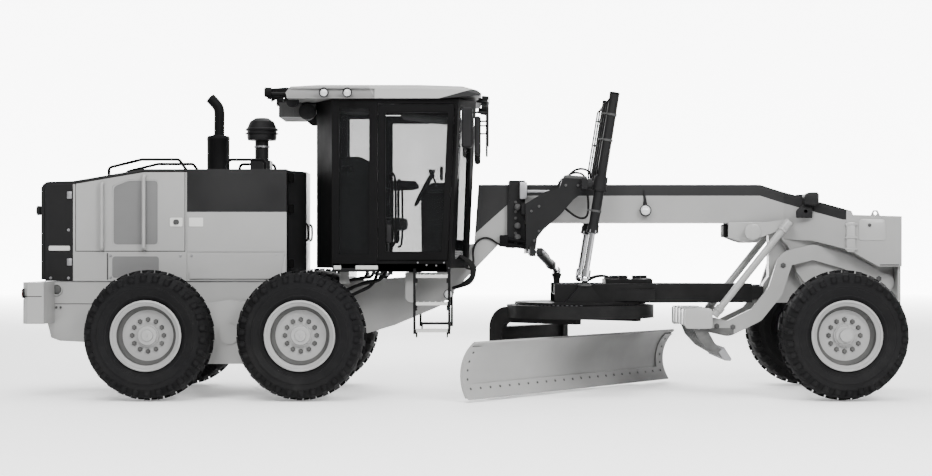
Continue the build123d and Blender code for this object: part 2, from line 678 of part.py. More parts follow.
def door_window():
    return [
        (DOOR_REAR_X + 85, SILL_Z + 95), (DOOR_REAR_X + 85, DOOR_TOP_Z - 95),
        (front_x(DOOR_TOP_Z - 95, DOOR_FRONT_X - 105), DOOR_TOP_Z - 95),
        (front_x(SILL_Z + 95, DOOR_FRONT_X - 105), SILL_Z + 95),
    ]


REAR_WINDOW = [
    (CAB_SHOULDER_X + 75, SILL_Z + 70), (CAB_SHOULDER_X + 75, CAB_TOP_Z - 90),
    (DOOR_REAR_X - 85, CAB_TOP_Z - 90),
    (DOOR_REAR_X - 85, SILL_Z + 70),
]


def panel_cutter(corner_a, corner_b, margin, z0, z1, depth):
    """Prism through a flat wall between two plan points, margin in from both ends."""
    (xa, ya), (xb, yb) = corner_a, corner_b
    length = hypot(xb - xa, yb - ya)
    angle = degrees(atan2(yb - ya, xb - xa))
    hole = Pos(0, 0, (z0 + z1) / 2) * Box(length - 2 * margin, depth, z1 - z0)
    return Pos((xa + xb) / 2, (ya + yb) / 2, 0) * Rot(0, 0, angle) * hole


def corner_hole():
    """Opening in the angled panel between the right-hand door post and the windscreen post."""
    plan = cab_plan(0, CAB_LEAN / 2)
    return mirrored(panel_cutter(plan[2], plan[3], CORNER_POST, SILL_Z + 20, SCREEN_TOP_Z, 190))


def make_cab_shell():
    """Cab posts, floor and tunnel, with the door and window openings cut."""
    outer = cab_solid(0, CAB_FLOOR_Z, CAB_TOP_Z)
    shell = outer - cab_solid(CAB_WALL, CAB_FLOOR_Z + 45, CAB_TOP_Z - 45)
    hole = side_plate(door_outline(0), -CAB_HALF - 5, -CAB_HALF + CAB_WALL + 5)
    hole += side_plate(REAR_WINDOW, -CAB_HALF - 5, -CAB_HALF + CAB_WALL + 5)
    hole += corner_hole()
    shell = shell - hole - mirrored(hole)
    shell -= block(
        CAB_REAR_X - 5, CAB_REAR_X + CAB_WALL + 5, -REAR_SCREEN_HALF, REAR_SCREEN_HALF, *REAR_SCREEN
    )
    shell -= block(
        CAB_FRONT_X - 80, CAB_FRONT_X + CAB_LEAN + 40, -SCREEN_HALF, SCREEN_HALF, SCREEN_BASE_Z,
        SCREEN_TOP_Z
    )
    wide = TUNNEL_HALF + 30
    cover = block(TUNNEL_REAR_X - 30, CAB_FRONT_X + CAB_LEAN, -wide, wide, CAB_FLOOR_Z,
        TUNNEL_TOP_Z + 30) & outer
    shell = shell + cover - block(
        TUNNEL_REAR_X, CAB_LEAN + 60, -TUNNEL_HALF, TUNNEL_HALF, CAB_FLOOR_Z - 5, TUNNEL_TOP_Z
    )
    sill = block(DOOR_REAR_X, DOOR_FRONT_X, -CAB_HALF, -CAB_HALF + CAB_WALL, SILL_BASE_Z, CAB_FLOOR_Z)
    return shell + sill + mirrored(sill)


def make_cab_glass():
    """Fixed panes: rear side windows, rear window, windscreen and the two angled front panes."""
    side = side_plate(REAR_WINDOW, -CAB_HALF + PANE_INSET, -CAB_HALF + PANE_INSET + GLASS)
    x = CAB_REAR_X + PANE_INSET
    rear = block(x, x + GLASS, -REAR_SCREEN_HALF, REAR_SCREEN_HALF, *REAR_SCREEN)
    lean = degrees(atan2(CAB_LEAN, CAB_TOP_Z - CAB_FLOOR_Z))
    mid = (SCREEN_BASE_Z + SCREEN_TOP_Z) / 2
    screen = Pos(front_x(mid, CAB_FRONT_X) - CAB_WALL / 2, 0, mid) * Rot(0, lean, 0) * Box(
        GLASS, 2 * SCREEN_HALF - 2, SCREEN_TOP_Z - SCREEN_BASE_Z - 12
    )
    skin = cab_solid(PANE_INSET, SILL_Z, SCREEN_TOP_Z)
    skin -= cab_solid(PANE_INSET + GLASS, SILL_Z - 1, SCREEN_TOP_Z + 1)
    corner = skin & corner_hole()
    return many(side, mirrored(side), rear, screen, corner, mirrored(corner))


def make_cab_door():
    """Right-hand door frame with its window cut and an inside grab bar."""
    door = side_plate(door_outline(8), -CAB_HALF, -CAB_HALF + CAB_WALL - 8)
    door -= side_plate(door_window(), -CAB_HALF - 5, -CAB_HALF + CAB_WALL + 5)
    handle = bent_bar(
        [
            (DOOR_REAR_X + 60, -CAB_HALF + 36, 1610), (DOOR_REAR_X + 150, -CAB_HALF + 75, 1610),
            (DOOR_REAR_X + 150, -CAB_HALF + 75, 2240), (DOOR_REAR_X + 60, -CAB_HALF + 36, 2240)
        ],
        14, 30
    )
    return door + handle


def make_roof():
    """Roof cap, its front edge drawn down to a thin lip, with a recessed band along each rear half."""
    base, top = CAB_TOP_Z + 5, CAB_TOP_Z + ROOF_RISE
    outline = [
        (ROOF_REAR_X + 20, base), (ROOF_REAR_X, base + 60), (ROOF_REAR_X + 50, top - 16),
        (ROOF_REAR_X + 330, top),
        (-500, top), (-60, top - 14), (90, top - 54), (135, top - 89), (110, top - 107), (-230, base),
    ]
    roof = side_plate(outline, -ROOF_HALF, ROOF_HALF)
    rim = roof.edges().filter_by(lambda e: e.center().Z > top - 69 and abs(e.center().Y) > ROOF_HALF - 10)
    roof = chamfer(rim, 40)
    band = block(ROOF_REAR_X - 5, -960, -ROOF_HALF - 5, -ROOF_HALF + 35, base + 8, top - 39)
    return roof - band - mirrored(band)


def make_roof_gear():
    """Work lamps: two on each side band, four under the front lip and four on stalks behind the roof."""
    z = CAB_TOP_Z
    side = [bar((x, 35 - ROOF_HALF, z + 59), (x + 8, -ROOF_HALF - 50, z + 55), 40) for x in (-1480, -1240)]
    for y in (-620, -520):
        side += bar((136, y, z), (205, y, z - 7), 48) + bar((105, y, z + 3), (140, y, z), 20)
    stalk = ROOF_REAR_X + 6
    side += [
        bar(
            (-2105, y, z + 80), (-2040, y, z + 78), 52
        ) + bar((-2045, y, z + 60), (stalk, y, z + 60), 20)
        for y in (-640, -420)
    ]
    return many(*side, *[mirrored(lamp) for lamp in side])


def make_climate_box():
    """Cooling unit hung behind the cab, under the roof's rear end."""
    z = CAB_TOP_Z + 3
    return block(-2000, -1760, -330, 330, z - 153, z) + block(-1765, CAB_REAR_X, -250, 250, z - 78, z - 8)


write("cab_shell", make_cab_shell())
write("cab_glass", make_cab_glass())
CAB_DOOR = make_cab_door()
write("cab_door_right", CAB_DOOR)
write("cab_door_left", mirrored(CAB_DOOR))
PANE = side_plate(door_window(), -CAB_HALF + PANE_INSET, -CAB_HALF + PANE_INSET + GLASS)
write("door_glass_right", PANE)
write("door_glass_left", mirrored(PANE))
ROOF = make_roof()
write("cab_roof", ROOF)
write("roof_lamps", many(make_roof_gear() - ROOF))
write("climate_box", make_climate_box())


def make_seat():
    base = block(-1200, -860, -170, 170, CAB_FLOOR_Z + 45, 1720)
    cushion = block(-1260, -770, -260, 260, 1722, 1860)
    back = side_plate([(-1300, 1800), (-1180, 1800), (-1290, 2520), (-1400, 2520)], -245, 245)
    rests = [block(-1220, -830, y - 45, y + 45, 2020, 2080) for y in (-330, 330)]
    posts = [block(-1230, -1170, y - 12, y + 12, 1790, 2030) for y in (-290, 290)]
    posts += [block(-1260, -1200, y - 40, y + 40, 1780, 1840) for y in (-270, 270)]
    return base + cushion + back + rests + posts


def make_console():
    """Steering column with its wheel, and the lever pods each side of it."""
    column = side_plate(
        [(-400, CAB_FLOOR_Z + 45), (-240, CAB_FLOOR_Z + 45), (-240, 1700), (-150, 2150), (-300, 2160),
            (-380, 2080)], -130, 130
    )
    wheel = Pos(-470, 0, 2190) * Rot(0, -62, 0) * Torus(205, 17)
    spoke = bar((-470, 0, 2190), (-330, 0, 2110), 30)
    cross = Pos(-470, 0, 2190) * Rot(0, -62, 0) * Rot(90, 0, 0) * Cylinder(16, 400)
    pods = block(-420, -180, -330, 330, 2130, 2190)
    levers = [bar((-330, y, 2180), (-390, y, 2330), 9) for y in (-300, -240, -180, 180, 240, 300)]
    return column + wheel + spoke + cross + pods + levers


def make_steps():
    """Right-hand ladder hung from the cab's sill."""
    x0, x1, y0, y1 = -560, -180, -945, -765
    rails = [block(x, x + 26, y0, y0 + 18, 665, 1325) for x in (x0, x1 - 26)]
    treads = [block(x0 + 26, x1 - 26, y0, y1, z, z + 22) for z in (690, 965, 1245)]
    ladder = treads[0] + treads[1] + treads[2] + rails
    ladder += [block(x, x + 26, y0, -CAB_HALF, 1297, 1333) for x in (x0, x1 - 26)]
    for z in (690, 965, 1245):
        ladder += [block(x, x + 14, y0, y1, z - 60, z + 22) for x in (x0 + 26, x1 - 40)]
    return ladder


def make_mirror():
    """Right-hand mirror on its looped arm."""
    z = CAB_TOP_Z
    y = -880
    arm = bent_bar([(90, -640, z - 15), (200, -760, z - 35), (200, y, z - 110), (200, y, z - 500)], 12, 40)
    head = fillet(block(-70, 45, y - 80, y + 90, z - 511, z - 102).edges(), 28)
    wide_angle = fillet(block(62, 130, y - 50, y + 80, z - 585, z - 190).edges(), 28)
    links = [bar((30, y, height), (200, y, height), 9) for height in (z - 150, z - 240)]
    return arm + head + wide_angle + links


write("seat", make_seat())
write("console", make_console())
write("steps", both_sides(make_steps()))
write("mirrors", both_sides(make_mirror()))

# ---- saddle and lift cylinders ------------------------------------------------------------------


def make_saddle():
    """Saddle clamped round the beam, with two arms forward to the lift cylinders' trunnions."""
    arm_outline = [
        (600, 2010), (806, 2133), (960, 2186), (985, 2280), (1240, 2262), (1240, 2160), (1100, 2049),
        (964, 1891), (785, 1733),
        (722, 1649), (701, 1485), (606, 1485),
    ]
    outer = BEAM_HALF + 54
    arm = side_plate(arm_outline, -LIFT_Y + 70, -LIFT_Y + 170)
    cheek = side_plate([(410, 2020), (470, 2080), (600, 2100), (600, 1560), (470, 1540), (410, 1620)],
        -outer, -BEAM_HALF)
    link = block(560, 700, -LIFT_Y + 120, -BEAM_HALF - 20, 1900, 2010)
    cap = block(430, 600, -outer, -BEAM_HALF, 2050, BEAM_TOP_Z)
    boss = block(1180, 1240, -LIFT_Y - 55, -LIFT_Y + 100, 2158, 2268)
    boss += bar((1180, -LIFT_Y, LIFT_PIVOT[1]), (1290, -LIFT_Y, LIFT_PIVOT[1]), 55)
    boss -= bar((1175, -LIFT_Y, LIFT_PIVOT[1]), (1300, -LIFT_Y, LIFT_PIVOT[1]), TRUNNION_RADIUS + 1)
    half = arm + cheek + link + cap + boss
    sill = block(606, 701, -LIFT_Y + 170, LIFT_Y - 170, 1485, 1600)
    sill += block(410, 606, -outer, outer, 1545, 1600)
    # hanger for the side-shift cylinder's pin
    x, y, z = SWING_SADDLE_END
    hanger = block(640, 700, y - 40, -330, z - 45, z + 60) - bar((630, y, z), (710, y, z),
        SWING_PIN_RADIUS + 1)
    return half + mirrored(half) + sill + hanger + block(
        430, 600, -outer, outer, BEAM_TOP_Z, BEAM_TOP_Z + 42
    )


LIFT_BALL_DROP = (LIFT_BALL_Z - LIFT_PIVOT[1]) / cos(radians(LIFT_LEAN))


def lift_axis(distance):
    """Point on the right-hand lift cylinder's axis, distance above the trunnion."""
    lean = radians(LIFT_LEAN)
    return (LIFT_PIVOT[0] + distance * sin(lean), -LIFT_Y, LIFT_PIVOT[1] + distance * cos(lean))


def make_lift_barrel():
    """Right-hand lift cylinder barrel with its trunnion collar and pin."""
    barrel = bar(lift_axis(-LIFT_BARREL_DOWN), lift_axis(LIFT_BARREL_UP), 52)
    barrel += bar(lift_axis(-LIFT_BARREL_DOWN), lift_axis(-LIFT_BARREL_DOWN + 90), 60)
    barrel += bar(lift_axis(-75), lift_axis(75), 72)
    barrel += bar((1200, -LIFT_Y, LIFT_PIVOT[1]), (LIFT_PIVOT[0], -LIFT_Y, LIFT_PIVOT[1]), TRUNNION_RADIUS)
    return barrel - bar(lift_axis(-LIFT_BARREL_DOWN - 5), lift_axis(LIFT_BARREL_UP - 60),
        LIFT_ROD_RADIUS + 3)


def make_lift_rod():
    """Right-hand rod with its ball end and the collar above it."""
    end = lift_axis(LIFT_BALL_DROP)
    rod = bar(end, lift_axis(-LIFT_BARREL_DOWN + 330), LIFT_ROD_RADIUS)
    rod += bar(lift_axis(LIFT_BALL_DROP + 25), lift_axis(LIFT_BALL_DROP + 95), 50)
    return rod + ball(end, LIFT_BALL_RADIUS)


def swing_axis(distance):
    """Point on the side-shift cylinder's axis, distance from its saddle end."""
    a, b = Vector(*SWING_SADDLE_END), Vector(*SWING_DRAWBAR_END)
    return tuple(a + (b - a).normalized() * distance)


def make_swing_pin():
    """Floating pin that carries the side-shift cylinder's eye on the saddle's hanger."""
    x, y, z = SWING_SADDLE_END
    return bar((634, y, z), (x + 65, y, z), SWING_PIN_RADIUS) + bar((622, y, z), (636, y, z),
        SWING_PIN_RADIUS + 12)


def make_swing_barrel():
    """Side-shift cylinder's barrel with the eye that turns on the hanger's pin."""
    x, y, z = SWING_SADDLE_END
    pin = bar((x - 40, y, z), (x + 90, y, z), SWING_PIN_RADIUS + 1)
    barrel = bar(swing_axis(0), swing_axis(SWING_BARREL_LENGTH), SWING_BARREL_RADIUS)
    barrel += bar(swing_axis(SWING_BARREL_LENGTH - 60), swing_axis(SWING_BARREL_LENGTH),
        SWING_BARREL_RADIUS + 7)
    barrel &= block(x - 23, x + 400, y - 100, y + 900, z - 300, z + 100)
    barrel += bar((x - 23, y, z), (x + 35, y, z), SWING_BARREL_RADIUS)
    return barrel - pin - bar(swing_axis(60), swing_axis(SWING_BARREL_LENGTH + 5), SWING_ROD_RADIUS + 3)


def make_swing_rod():
    """Side-shift cylinder's rod and its ball end."""
    end = Vector(*SWING_DRAWBAR_END)
    length = (end - Vector(*SWING_SADDLE_END)).length
    return bar(
        swing_axis(305), swing_axis(length), SWING_ROD_RADIUS
    ) + ball(SWING_DRAWBAR_END, LIFT_BALL_RADIUS)


BARREL, ROD = make_lift_barrel(), make_lift_rod()
write("saddle", make_saddle())
write("lift_barrel_right", BARREL)
write("lift_barrel_left", mirrored(BARREL))
write("lift_rod_right", ROD)
write("lift_rod_left", mirrored(ROD))
write("swing_pin", make_swing_pin())
write("swing_barrel", make_swing_barrel())
write("swing_rod", make_swing_rod())

# ---- drawbar, circle, blade ---------------------------------------------------------------------


def make_drawbar():
    """A-frame from the ball socket to the ring plate over the circle, with the circle drive on top."""
    base, top = DRAWBAR_BASE_Z, DRAWBAR_TOP_Z
    leg = plan_plate(
        [(3020, 104), (3020, 150), (1300, 440), (900, 440), (900, 350), (1280, 340)], base, top
    )
    leg += block(2900, BALL_X + 40, 104, 150, base + 40, top - 30)
    drawbar = leg + mirrored(leg) + block(2700, 2975, -130, 130, base, top)
    drawbar -= ball((BALL_X, 0, BALL_Z), BALL_RADIUS + 38)
    drawbar += Pos(CIRCLE_X, 0, CIRCLE_TOP_Z + 20) * (Cylinder(700, 24) - Cylinder(330, 30))
    drawbar += block(900, 1010, -440, 440, base, 1060)
    # seats under the balls of the lift and side-shift cylinders
    x, seat = lift_axis(LIFT_BALL_DROP)[0], LIFT_BALL_Z - LIFT_BALL_RADIUS - BALL_SEAT_GAP
    stand = side_plate(
        [(1000, 960), (x - 62, seat - 24), (x + 62, seat - 24), (1420, 960)], -LIFT_Y - 45, -440
    )
    stand += Pos(x, -LIFT_Y, seat - 15) * Cylinder(62, 30)
    drawbar = drawbar + stand + mirrored(stand)
    x, y, z = SWING_DRAWBAR_END
    seat = z - LIFT_BALL_RADIUS - SWING_SEAT_GAP
    drawbar += block(
        x - 35, x + 35, y - 35, y + 35, 1050, seat - 20
    ) + Pos(x, y, seat - 15) * Cylinder(42, 30)
    drive = block(1450, 1950, -240, 240, top - 60, 1215)
    drive += block(1440, 1960, -400, 400, base + 20, top - 60)
    return drawbar + drive + [Pos(x, y, 1225) * Cylinder(48, 50) for x,
        y in ((1650, -120), (1650, 120), (1800, 0), (1880, 130))]


def make_socket():
    """Cup at the drawbar's nose; it turns on the ball and carries the drawbar's lift pin."""
    radius = BALL_RADIUS + 28
    half = [(-radius, 0), (-radius, 22), (-radius + 20, 60), (-46, radius - 12), (18, radius - 12), (18, 0)]
    cup = revolve(
        make_face(Polyline(*[(BALL_X + x, 0, BALL_Z + z) for x, z in half], close=True)),
        axis=Axis((BALL_X, 0, BALL_Z), (1, 0, 0)),
    )
    return cup - ball((BALL_X, 0, BALL_Z), BALL_RADIUS + 1)


def make_circle():
    """Circle ring with its inner teeth seat, and the two arms that curve back and down to the blade."""
    ring = Pos(0, 0, CIRCLE_TOP_Z - CIRCLE_DEPTH / 2) * (
        Cylinder(CIRCLE_RADIUS, CIRCLE_DEPTH) - Cylinder(CIRCLE_RADIUS - 165, CIRCLE_DEPTH + 10)
    )
    low, high = CIRCLE_TOP_Z - 190, CIRCLE_TOP_Z - 20
    path = FilletPolyline(
        (380, ARM_Y, (low + high) / 2), (ARM_REAR + 90, ARM_Y, (low + high) / 2),
        (ARM_REAR + 90, ARM_Y, 420),
        (PITCH_X, ARM_Y, PITCH_Z), radius=150,
    )
    section = Plane(origin=path @ 0, x_dir=(0, 1, 0), z_dir=path % 0) * Rectangle(90, 170)
    arm = sweep(section, path=path)
    boss = across(PITCH_X, ARM_Y - 45, ARM_Y + 45, PITCH_Z, 80)
    arm = (arm + boss) - across(PITCH_X, ARM_Y - 60, ARM_Y + 60, PITCH_Z, 31)
    cross = block(ARM_REAR + 10, ARM_REAR + 150, -ARM_Y - 45, ARM_Y + 45, 560, 700)
    return ring + arm + mirrored(arm) + cross


def blade_arc(radius):
    """(X, Z) of the lower end, middle and upper end of an arc about the moldboard's axis."""
    tip = radians(BLADE_TIP)
    x0, z0 = BLADE_EDGE_X, BLADE_BASE_Z
    x1, z1 = x0 + BLADE_CHORD * sin(tip), z0 + BLADE_CHORD * cos(tip)
    reach = (BLADE_CURVE**2 - (BLADE_CHORD / 2) ** 2) ** 0.5
    cx, cz = (x0 + x1) / 2 + reach * cos(tip), (z0 + z1) / 2 - reach * sin(tip)
    half_angle = atan2(BLADE_CHORD / 2, reach)
    return [
        (cx - radius * cos(tip - turn), cz + radius * sin(tip - turn))
        for turn in (half_angle, 0, -half_angle)
    ]


def make_moldboard():
    """Curved moldboard with its cutting edge, end bits and the two slide rails behind it."""
    half = BLADE_LENGTH / 2

    def curved(inner, outer, z_from, z_to, y0, y1):
        (a, m, b), (c, n, d) = blade_arc(inner), blade_arc(outer)
        front = ThreePointArc(*[(x, y0, z) for x, z in (a, m, b)])
        back = ThreePointArc(*[(x, y0, z) for x, z in (d, n, c)])
        wire = [front, Line(front @ 1, back @ 0), back, Line(back @ 1, front @ 0)]
        body = extrude(make_face(wire), amount=y1 - y0, dir=(0, 1, 0))
        return body & block(-900, 900, y0 - 1, y1 + 1, z_from, z_to)

    board = curved(BLADE_CURVE, BLADE_CURVE + BLADE_THICK, 45, 700, -half, half)
    edge = curved(BLADE_CURVE - 16, BLADE_CURVE + 0.01, BLADE_BASE_Z - 5, BLADE_BASE_Z + 150, -half, half)
    bit = curved(BLADE_CURVE - 14, BLADE_CURVE + 0.01, BLADE_BASE_Z + 148, 560, -half, -half + 150)
    board = board + edge + bit + mirrored(bit)
    rails = block(-262, -80, -1300, 1300, 480, 512) + block(-240, -118, -1300, 1300, 88, 125)
    return board + rails


def make_carrier():
    """The two tilt brackets that grip the blade's rails, joined by the tilt shaft."""
    outline = [
        (-324, 155), (-262, 62), (-160, 62), (-160, 82), (-246, 82), (-246, 131), (-190, 131),
        (-205, 300), (-205, 472), (-270, 472), (-270, 520), (-190, 520), (-190, 545), (-300, 545),
        (-324, 275)
    ]
    y = ARM_Y - 120
    bracket = side_plate(outline, -y - 45, -y + 45)
    return bracket + mirrored(bracket) + across(PITCH_X, -ARM_Y - 60, ARM_Y + 60, PITCH_Z, 30)


PLACE = Pos(CIRCLE_X, 0, 0) * Rot(0, 0, -BLADE_ANGLE)
write("drawbar", make_drawbar())
write("drawbar_socket", make_socket())
write("circle", PLACE * make_circle())
write("moldboard", PLACE * make_moldboard())
write("blade_carrier", PLACE * make_carrier())

# ---- scarifier ----------------------------------------------------------------------------------


def make_scarifier():
    """Arms that arch over the axle to a toolbar with curved shanks."""
    points = [
        (2500, 745), (2740, 690), (3040, 840), (3240, 1090), (3350, 1430), (3640, 1500),
        (3990, 1400), SCAR_PIVOT
    ]
    y0 = -SCAR_ARM_Y - SCAR_ARM_THICK
    path = FilletPolyline(*[(x, y0, z) for x, z in points], radius=90)
    section = Plane(origin=path @ 0, x_dir=(0, 1, 0),
        z_dir=path % 0) * (Pos(SCAR_ARM_THICK / 2, 0) * Rectangle(SCAR_ARM_THICK, 160))
    arm = sweep(section, path=path)
    arm += across(SCAR_PIVOT[0], y0, y0 + SCAR_ARM_THICK, SCAR_PIVOT[1], 95)
    bar_beam = block(2260, 2520, -600, 600, 740, 900)
    frame = arm + mirrored(arm) + bar_beam
    shank = [(2330, 745), (2460, 745), (2560, 560), (2735, 369), (2690, 369), (2500, 480), (2390, 600)]
    shanks = [side_plate(shank, y - 16, y + 16) for y in range(-540, 541, 135)]
    return frame + shanks


def make_rocker():
    """Rocker shaft under the beam with an arm each side."""
    shaft = across(ROCKER[0], -308, 308, ROCKER[1], 60)
    arm = side_plate([(2940, 1655), (3060, 1650), (3400, 1770), (3380, 1850), (2960, 1790)], -308, -268)
    return shaft + arm + mirrored(arm)


def make_struts():
    y = -SCAR_ARM_Y - SCAR_ARM_THICK - 50
    strut = bar((3350, y, 1790), (2600, y, 850), 38)
    strut += [bar((3378, y, 1825), (3320, y, 1752), 44), bar((2640, y, 900), (2585, y, 832), 44)]
    return both_sides(strut)


write("scarifier", make_scarifier())
write("scarifier_rocker", make_rocker())
write("scarifier_struts", make_struts())
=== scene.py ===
import bpy
import json
from math import cos, pi, radians, sin
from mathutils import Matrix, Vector


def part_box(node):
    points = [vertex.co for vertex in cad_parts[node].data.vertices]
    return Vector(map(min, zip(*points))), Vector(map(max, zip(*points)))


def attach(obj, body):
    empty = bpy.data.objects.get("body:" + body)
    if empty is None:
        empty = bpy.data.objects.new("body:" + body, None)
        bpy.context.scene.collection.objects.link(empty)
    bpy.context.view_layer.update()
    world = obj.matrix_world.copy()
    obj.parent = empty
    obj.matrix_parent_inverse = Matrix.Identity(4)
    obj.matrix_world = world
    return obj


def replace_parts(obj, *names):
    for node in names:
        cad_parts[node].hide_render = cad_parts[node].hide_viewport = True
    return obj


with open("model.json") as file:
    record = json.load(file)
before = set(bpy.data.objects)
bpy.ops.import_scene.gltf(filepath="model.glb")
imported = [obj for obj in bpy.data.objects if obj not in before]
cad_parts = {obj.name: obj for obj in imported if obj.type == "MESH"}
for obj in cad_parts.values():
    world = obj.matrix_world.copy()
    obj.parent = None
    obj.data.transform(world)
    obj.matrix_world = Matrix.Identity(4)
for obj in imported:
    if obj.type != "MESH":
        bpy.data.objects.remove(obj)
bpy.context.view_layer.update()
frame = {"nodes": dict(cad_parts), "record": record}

# The machine faces +X and its right side is -Y. Right-hand pieces are modelled, then mirrored.
AHEAD, BACK, RIGHT, UP = (1, 0, 0), (-1, 0, 0), (0, -1, 0), (0, 0, 1)
ORIGIN = (0, 0, 0)

# ---- finishes -----------------------------------------------------------------------------------
LIGHT, DARK, BLACK = (0.248, 0.248, 0.244), (0.0075, 0.0075, 0.0078), (0.003, 0.003, 0.0032)
DUST = (0.22, 0.216, 0.205)


def connect(tree, node, inputs):
    """Gives each input of a node a value, or a link from another node's output."""
    for name, value in inputs.items():
        socket = node.inputs[name]
        if isinstance(value, bpy.types.NodeSocket):
            tree.links.new(value, socket)
        elif socket.type == "RGBA":
            socket.default_value = (*value, 1)
        else:
            socket.default_value = value


def add_node(tree, kind, inputs, operation=None):
    node = tree.nodes.new("ShaderNode" + kind)
    if operation:
        node.operation = operation
    connect(tree, node, inputs)
    return node


def weathering_group():
    """Cloudiness, dust settled low down and fine grain, shared by the finishes."""
    group = bpy.data.node_groups.new("weathering", "ShaderNodeTree")
    sockets = [("Position", "INPUT", "Vector"), ("Dust Height", "INPUT", "Float")]
    sockets += [(name, "OUTPUT", "Float") for name in ("Cloud", "Dust", "Grain")]
    for name, way, kind in sockets:
        group.interface.new_socket(name, in_out=way, socket_type="NodeSocket" + kind)
    given, out = group.nodes.new("NodeGroupInput").outputs, group.nodes.new("NodeGroupOutput")

    def noise(scale, detail):
        inputs = {"Vector": given["Position"], "Scale": scale, "Detail": detail}
        return add_node(group, "TexNoise", inputs).outputs["Fac"]

    def ramp(value, low, high):
        inputs = {"Value": value, "From Min": low, "From Max": high}
        return add_node(group, "MapRange", inputs).outputs["Result"]

    height = add_node(group, "SeparateXYZ", {"Vector": given["Position"]}).outputs["Z"]
    fall = {"Value": height, "From Min": 0, "From Max": given["Dust Height"], "To Min": 1, "To Max": 0}
    near_ground = add_node(group, "MapRange", fall).outputs["Result"]
    patches = ramp(noise(5, 6), 0.3, 0.75)
    dust = add_node(group, "Math", {0: near_ground, 1: patches}, "MULTIPLY").outputs["Value"]
    connect(group, out, {"Cloud": ramp(noise(1.3, 4), 0.35, 0.68), "Dust": dust, "Grain": noise(90, 3)})
    return group


WEATHERING = weathering_group()


class Finish:
    """A node material under construction, with its Object coordinates and weathering at hand."""

    def __init__(self, name, slot=None, dust_height=1.5):
        self.material = bpy.data.materials.new(name)
        self.material.use_nodes = True
        self.tree = self.material.node_tree
        self.place = self.add("TexCoord", {}).outputs["Object"]
        wear = self.tree.nodes.new("ShaderNodeGroup")
        wear.node_tree = WEATHERING
        connect(self.tree, wear, {"Position": self.place, "Dust Height": dust_height})
        self.cloud, self.dust, self.grain = (wear.outputs[name] for name in ("Cloud", "Dust", "Grain"))

    def add(self, kind, inputs, operation=None):
        return add_node(self.tree, kind, inputs, operation)

    def use(self, **inputs):
        """Sets or links the shader's sockets; Base_Color stands for Base Color."""
        shader = self.tree.nodes["Principled BSDF"]
        connect(self.tree, shader, {name.replace("_", " "): value for name, value in inputs.items()})

    def blend(self, amount, first, second):
        node = self.tree.nodes.new("ShaderNodeMix")
        node.data_type = "RGBA"
        connect(self.tree, node, {"Factor": amount, 6: first, 7: second})
        return node.outputs[2]

    def math(self, operation, first, *others):
        for other in others:
            first = self.add("Math", {0: first, 1: other}, operation).outputs[0]
        return first

    def times(self, *values):
        return self.math("MULTIPLY", *values)

    def most(self, *values):
        return self.math("MAXIMUM", *values)

    def above(self, value, limit):
        return self.math("GREATER_THAN", value, limit)

    def below(self, value, limit):
        return self.math("LESS_THAN", value, limit)

    def along(self, direction):
        return self.add("VectorMath", {0: self.place, 1: direction}, "DOT_PRODUCT").outputs["Value"]

    def noise(self, scale, detail=4.0, stretch=(1, 1, 1)):
        place = self.add("Mapping", {"Vector": self.place, "Scale": stretch}).outputs["Vector"]
        return self.add("TexNoise", {"Vector": place, "Scale": scale, "Detail": detail}).outputs["Fac"]

    def ramp(self, value, low, high):
        return self.add("MapRange", {"Value": value, "To Min": low, "To Max": high}).outputs["Result"]

    def rough(self, low, high, value=None):
        self.use(Roughness=self.ramp(self.cloud if value is None else value, low, high))

    def bump(self, height, strength, distance=0.002):
        inputs = {"Height": height, "Strength": strength, "Distance": distance}
        self.use(Normal=self.add("Bump", inputs).outputs["Normal"])


def tinted(colour, factor):
    return tuple(part * factor for part in colour)


def enamel(name, slot, base, rough=0.34, coat=0.25, dust=0.35, dust_height=1.5, gloss=0.2, dark_where=None):
    """Machine enamel: a little cloudy, dusty low down, with fine orange peel."""
    finish = Finish(name, slot, dust_height)
    colour = finish.blend(finish.cloud, base, tinted(base, 0.9))
    settled = finish.times(finish.dust, dust)
    finish.use(Coat_Weight=coat, Coat_Roughness=0.12, Specular_IOR_Level=gloss)
    # dark_where gives the darker parts: two-tone paint on the hood and beam, bare shanks on the scarifier,
    # and painted shade on the roof and the blade.
    if dark_where:
        dark = dark_where(finish)
        light = finish.math("SUBTRACT", 1.0, dark)
        colour = finish.blend(dark, colour, DARK)
        settled = finish.times(settled, light)
        finish.use(Coat_Weight=finish.times(light, coat))
    finish.use(Base_Color=finish.blend(settled, colour, DUST))
    finish.rough(rough - 0.05, rough + 0.22, finish.most(finish.dust, finish.cloud))
    finish.bump(finish.grain, 0.06)
    return finish.material


def hood_dark(finish):
    """Front side panel's upper half, the cowl and the hood's top are dark."""
    x, z, slope = finish.along(AHEAD), finish.along(UP), finish.along((-0.1706, 0, 1))
    panel = finish.times(finish.above(x, -2.925), finish.above(z, 1.917))
    top = finish.times(finish.above(z, 2.2), finish.above(slope, 2.328 + 0.1706 * 3.38))
    return finish.most(panel, finish.above(x, -1.889), top, finish.above(z, 2.33))


def beam_dark(finish):
    """Dark strip along the beam's top and down its nose, and the dark flank beside the cab."""
    x, z = finish.along(AHEAD), finish.along(UP)
    strip = finish.above(finish.along((0.3186, 0, 1)), 2.1 + 0.3186 * 3.1)
    strip = finish.times(finish.above(z, 1.84), strip, finish.below(x, 3.95), finish.above(x, 3.1))
    rear = finish.times(finish.above(z, 2.1), finish.below(x, 3.11))
    flank = finish.above(finish.along((-0.894, 0, 1)), 2.0 - 0.894 * 0.409)
    flank = finish.times(flank, finish.above(z, 1.3))
    collar = finish.times(finish.above(z, 2.02), finish.above(x, 0.4))
    return finish.most(strip, rear, finish.times(finish.most(flank, collar), finish.below(x, 0.57)))


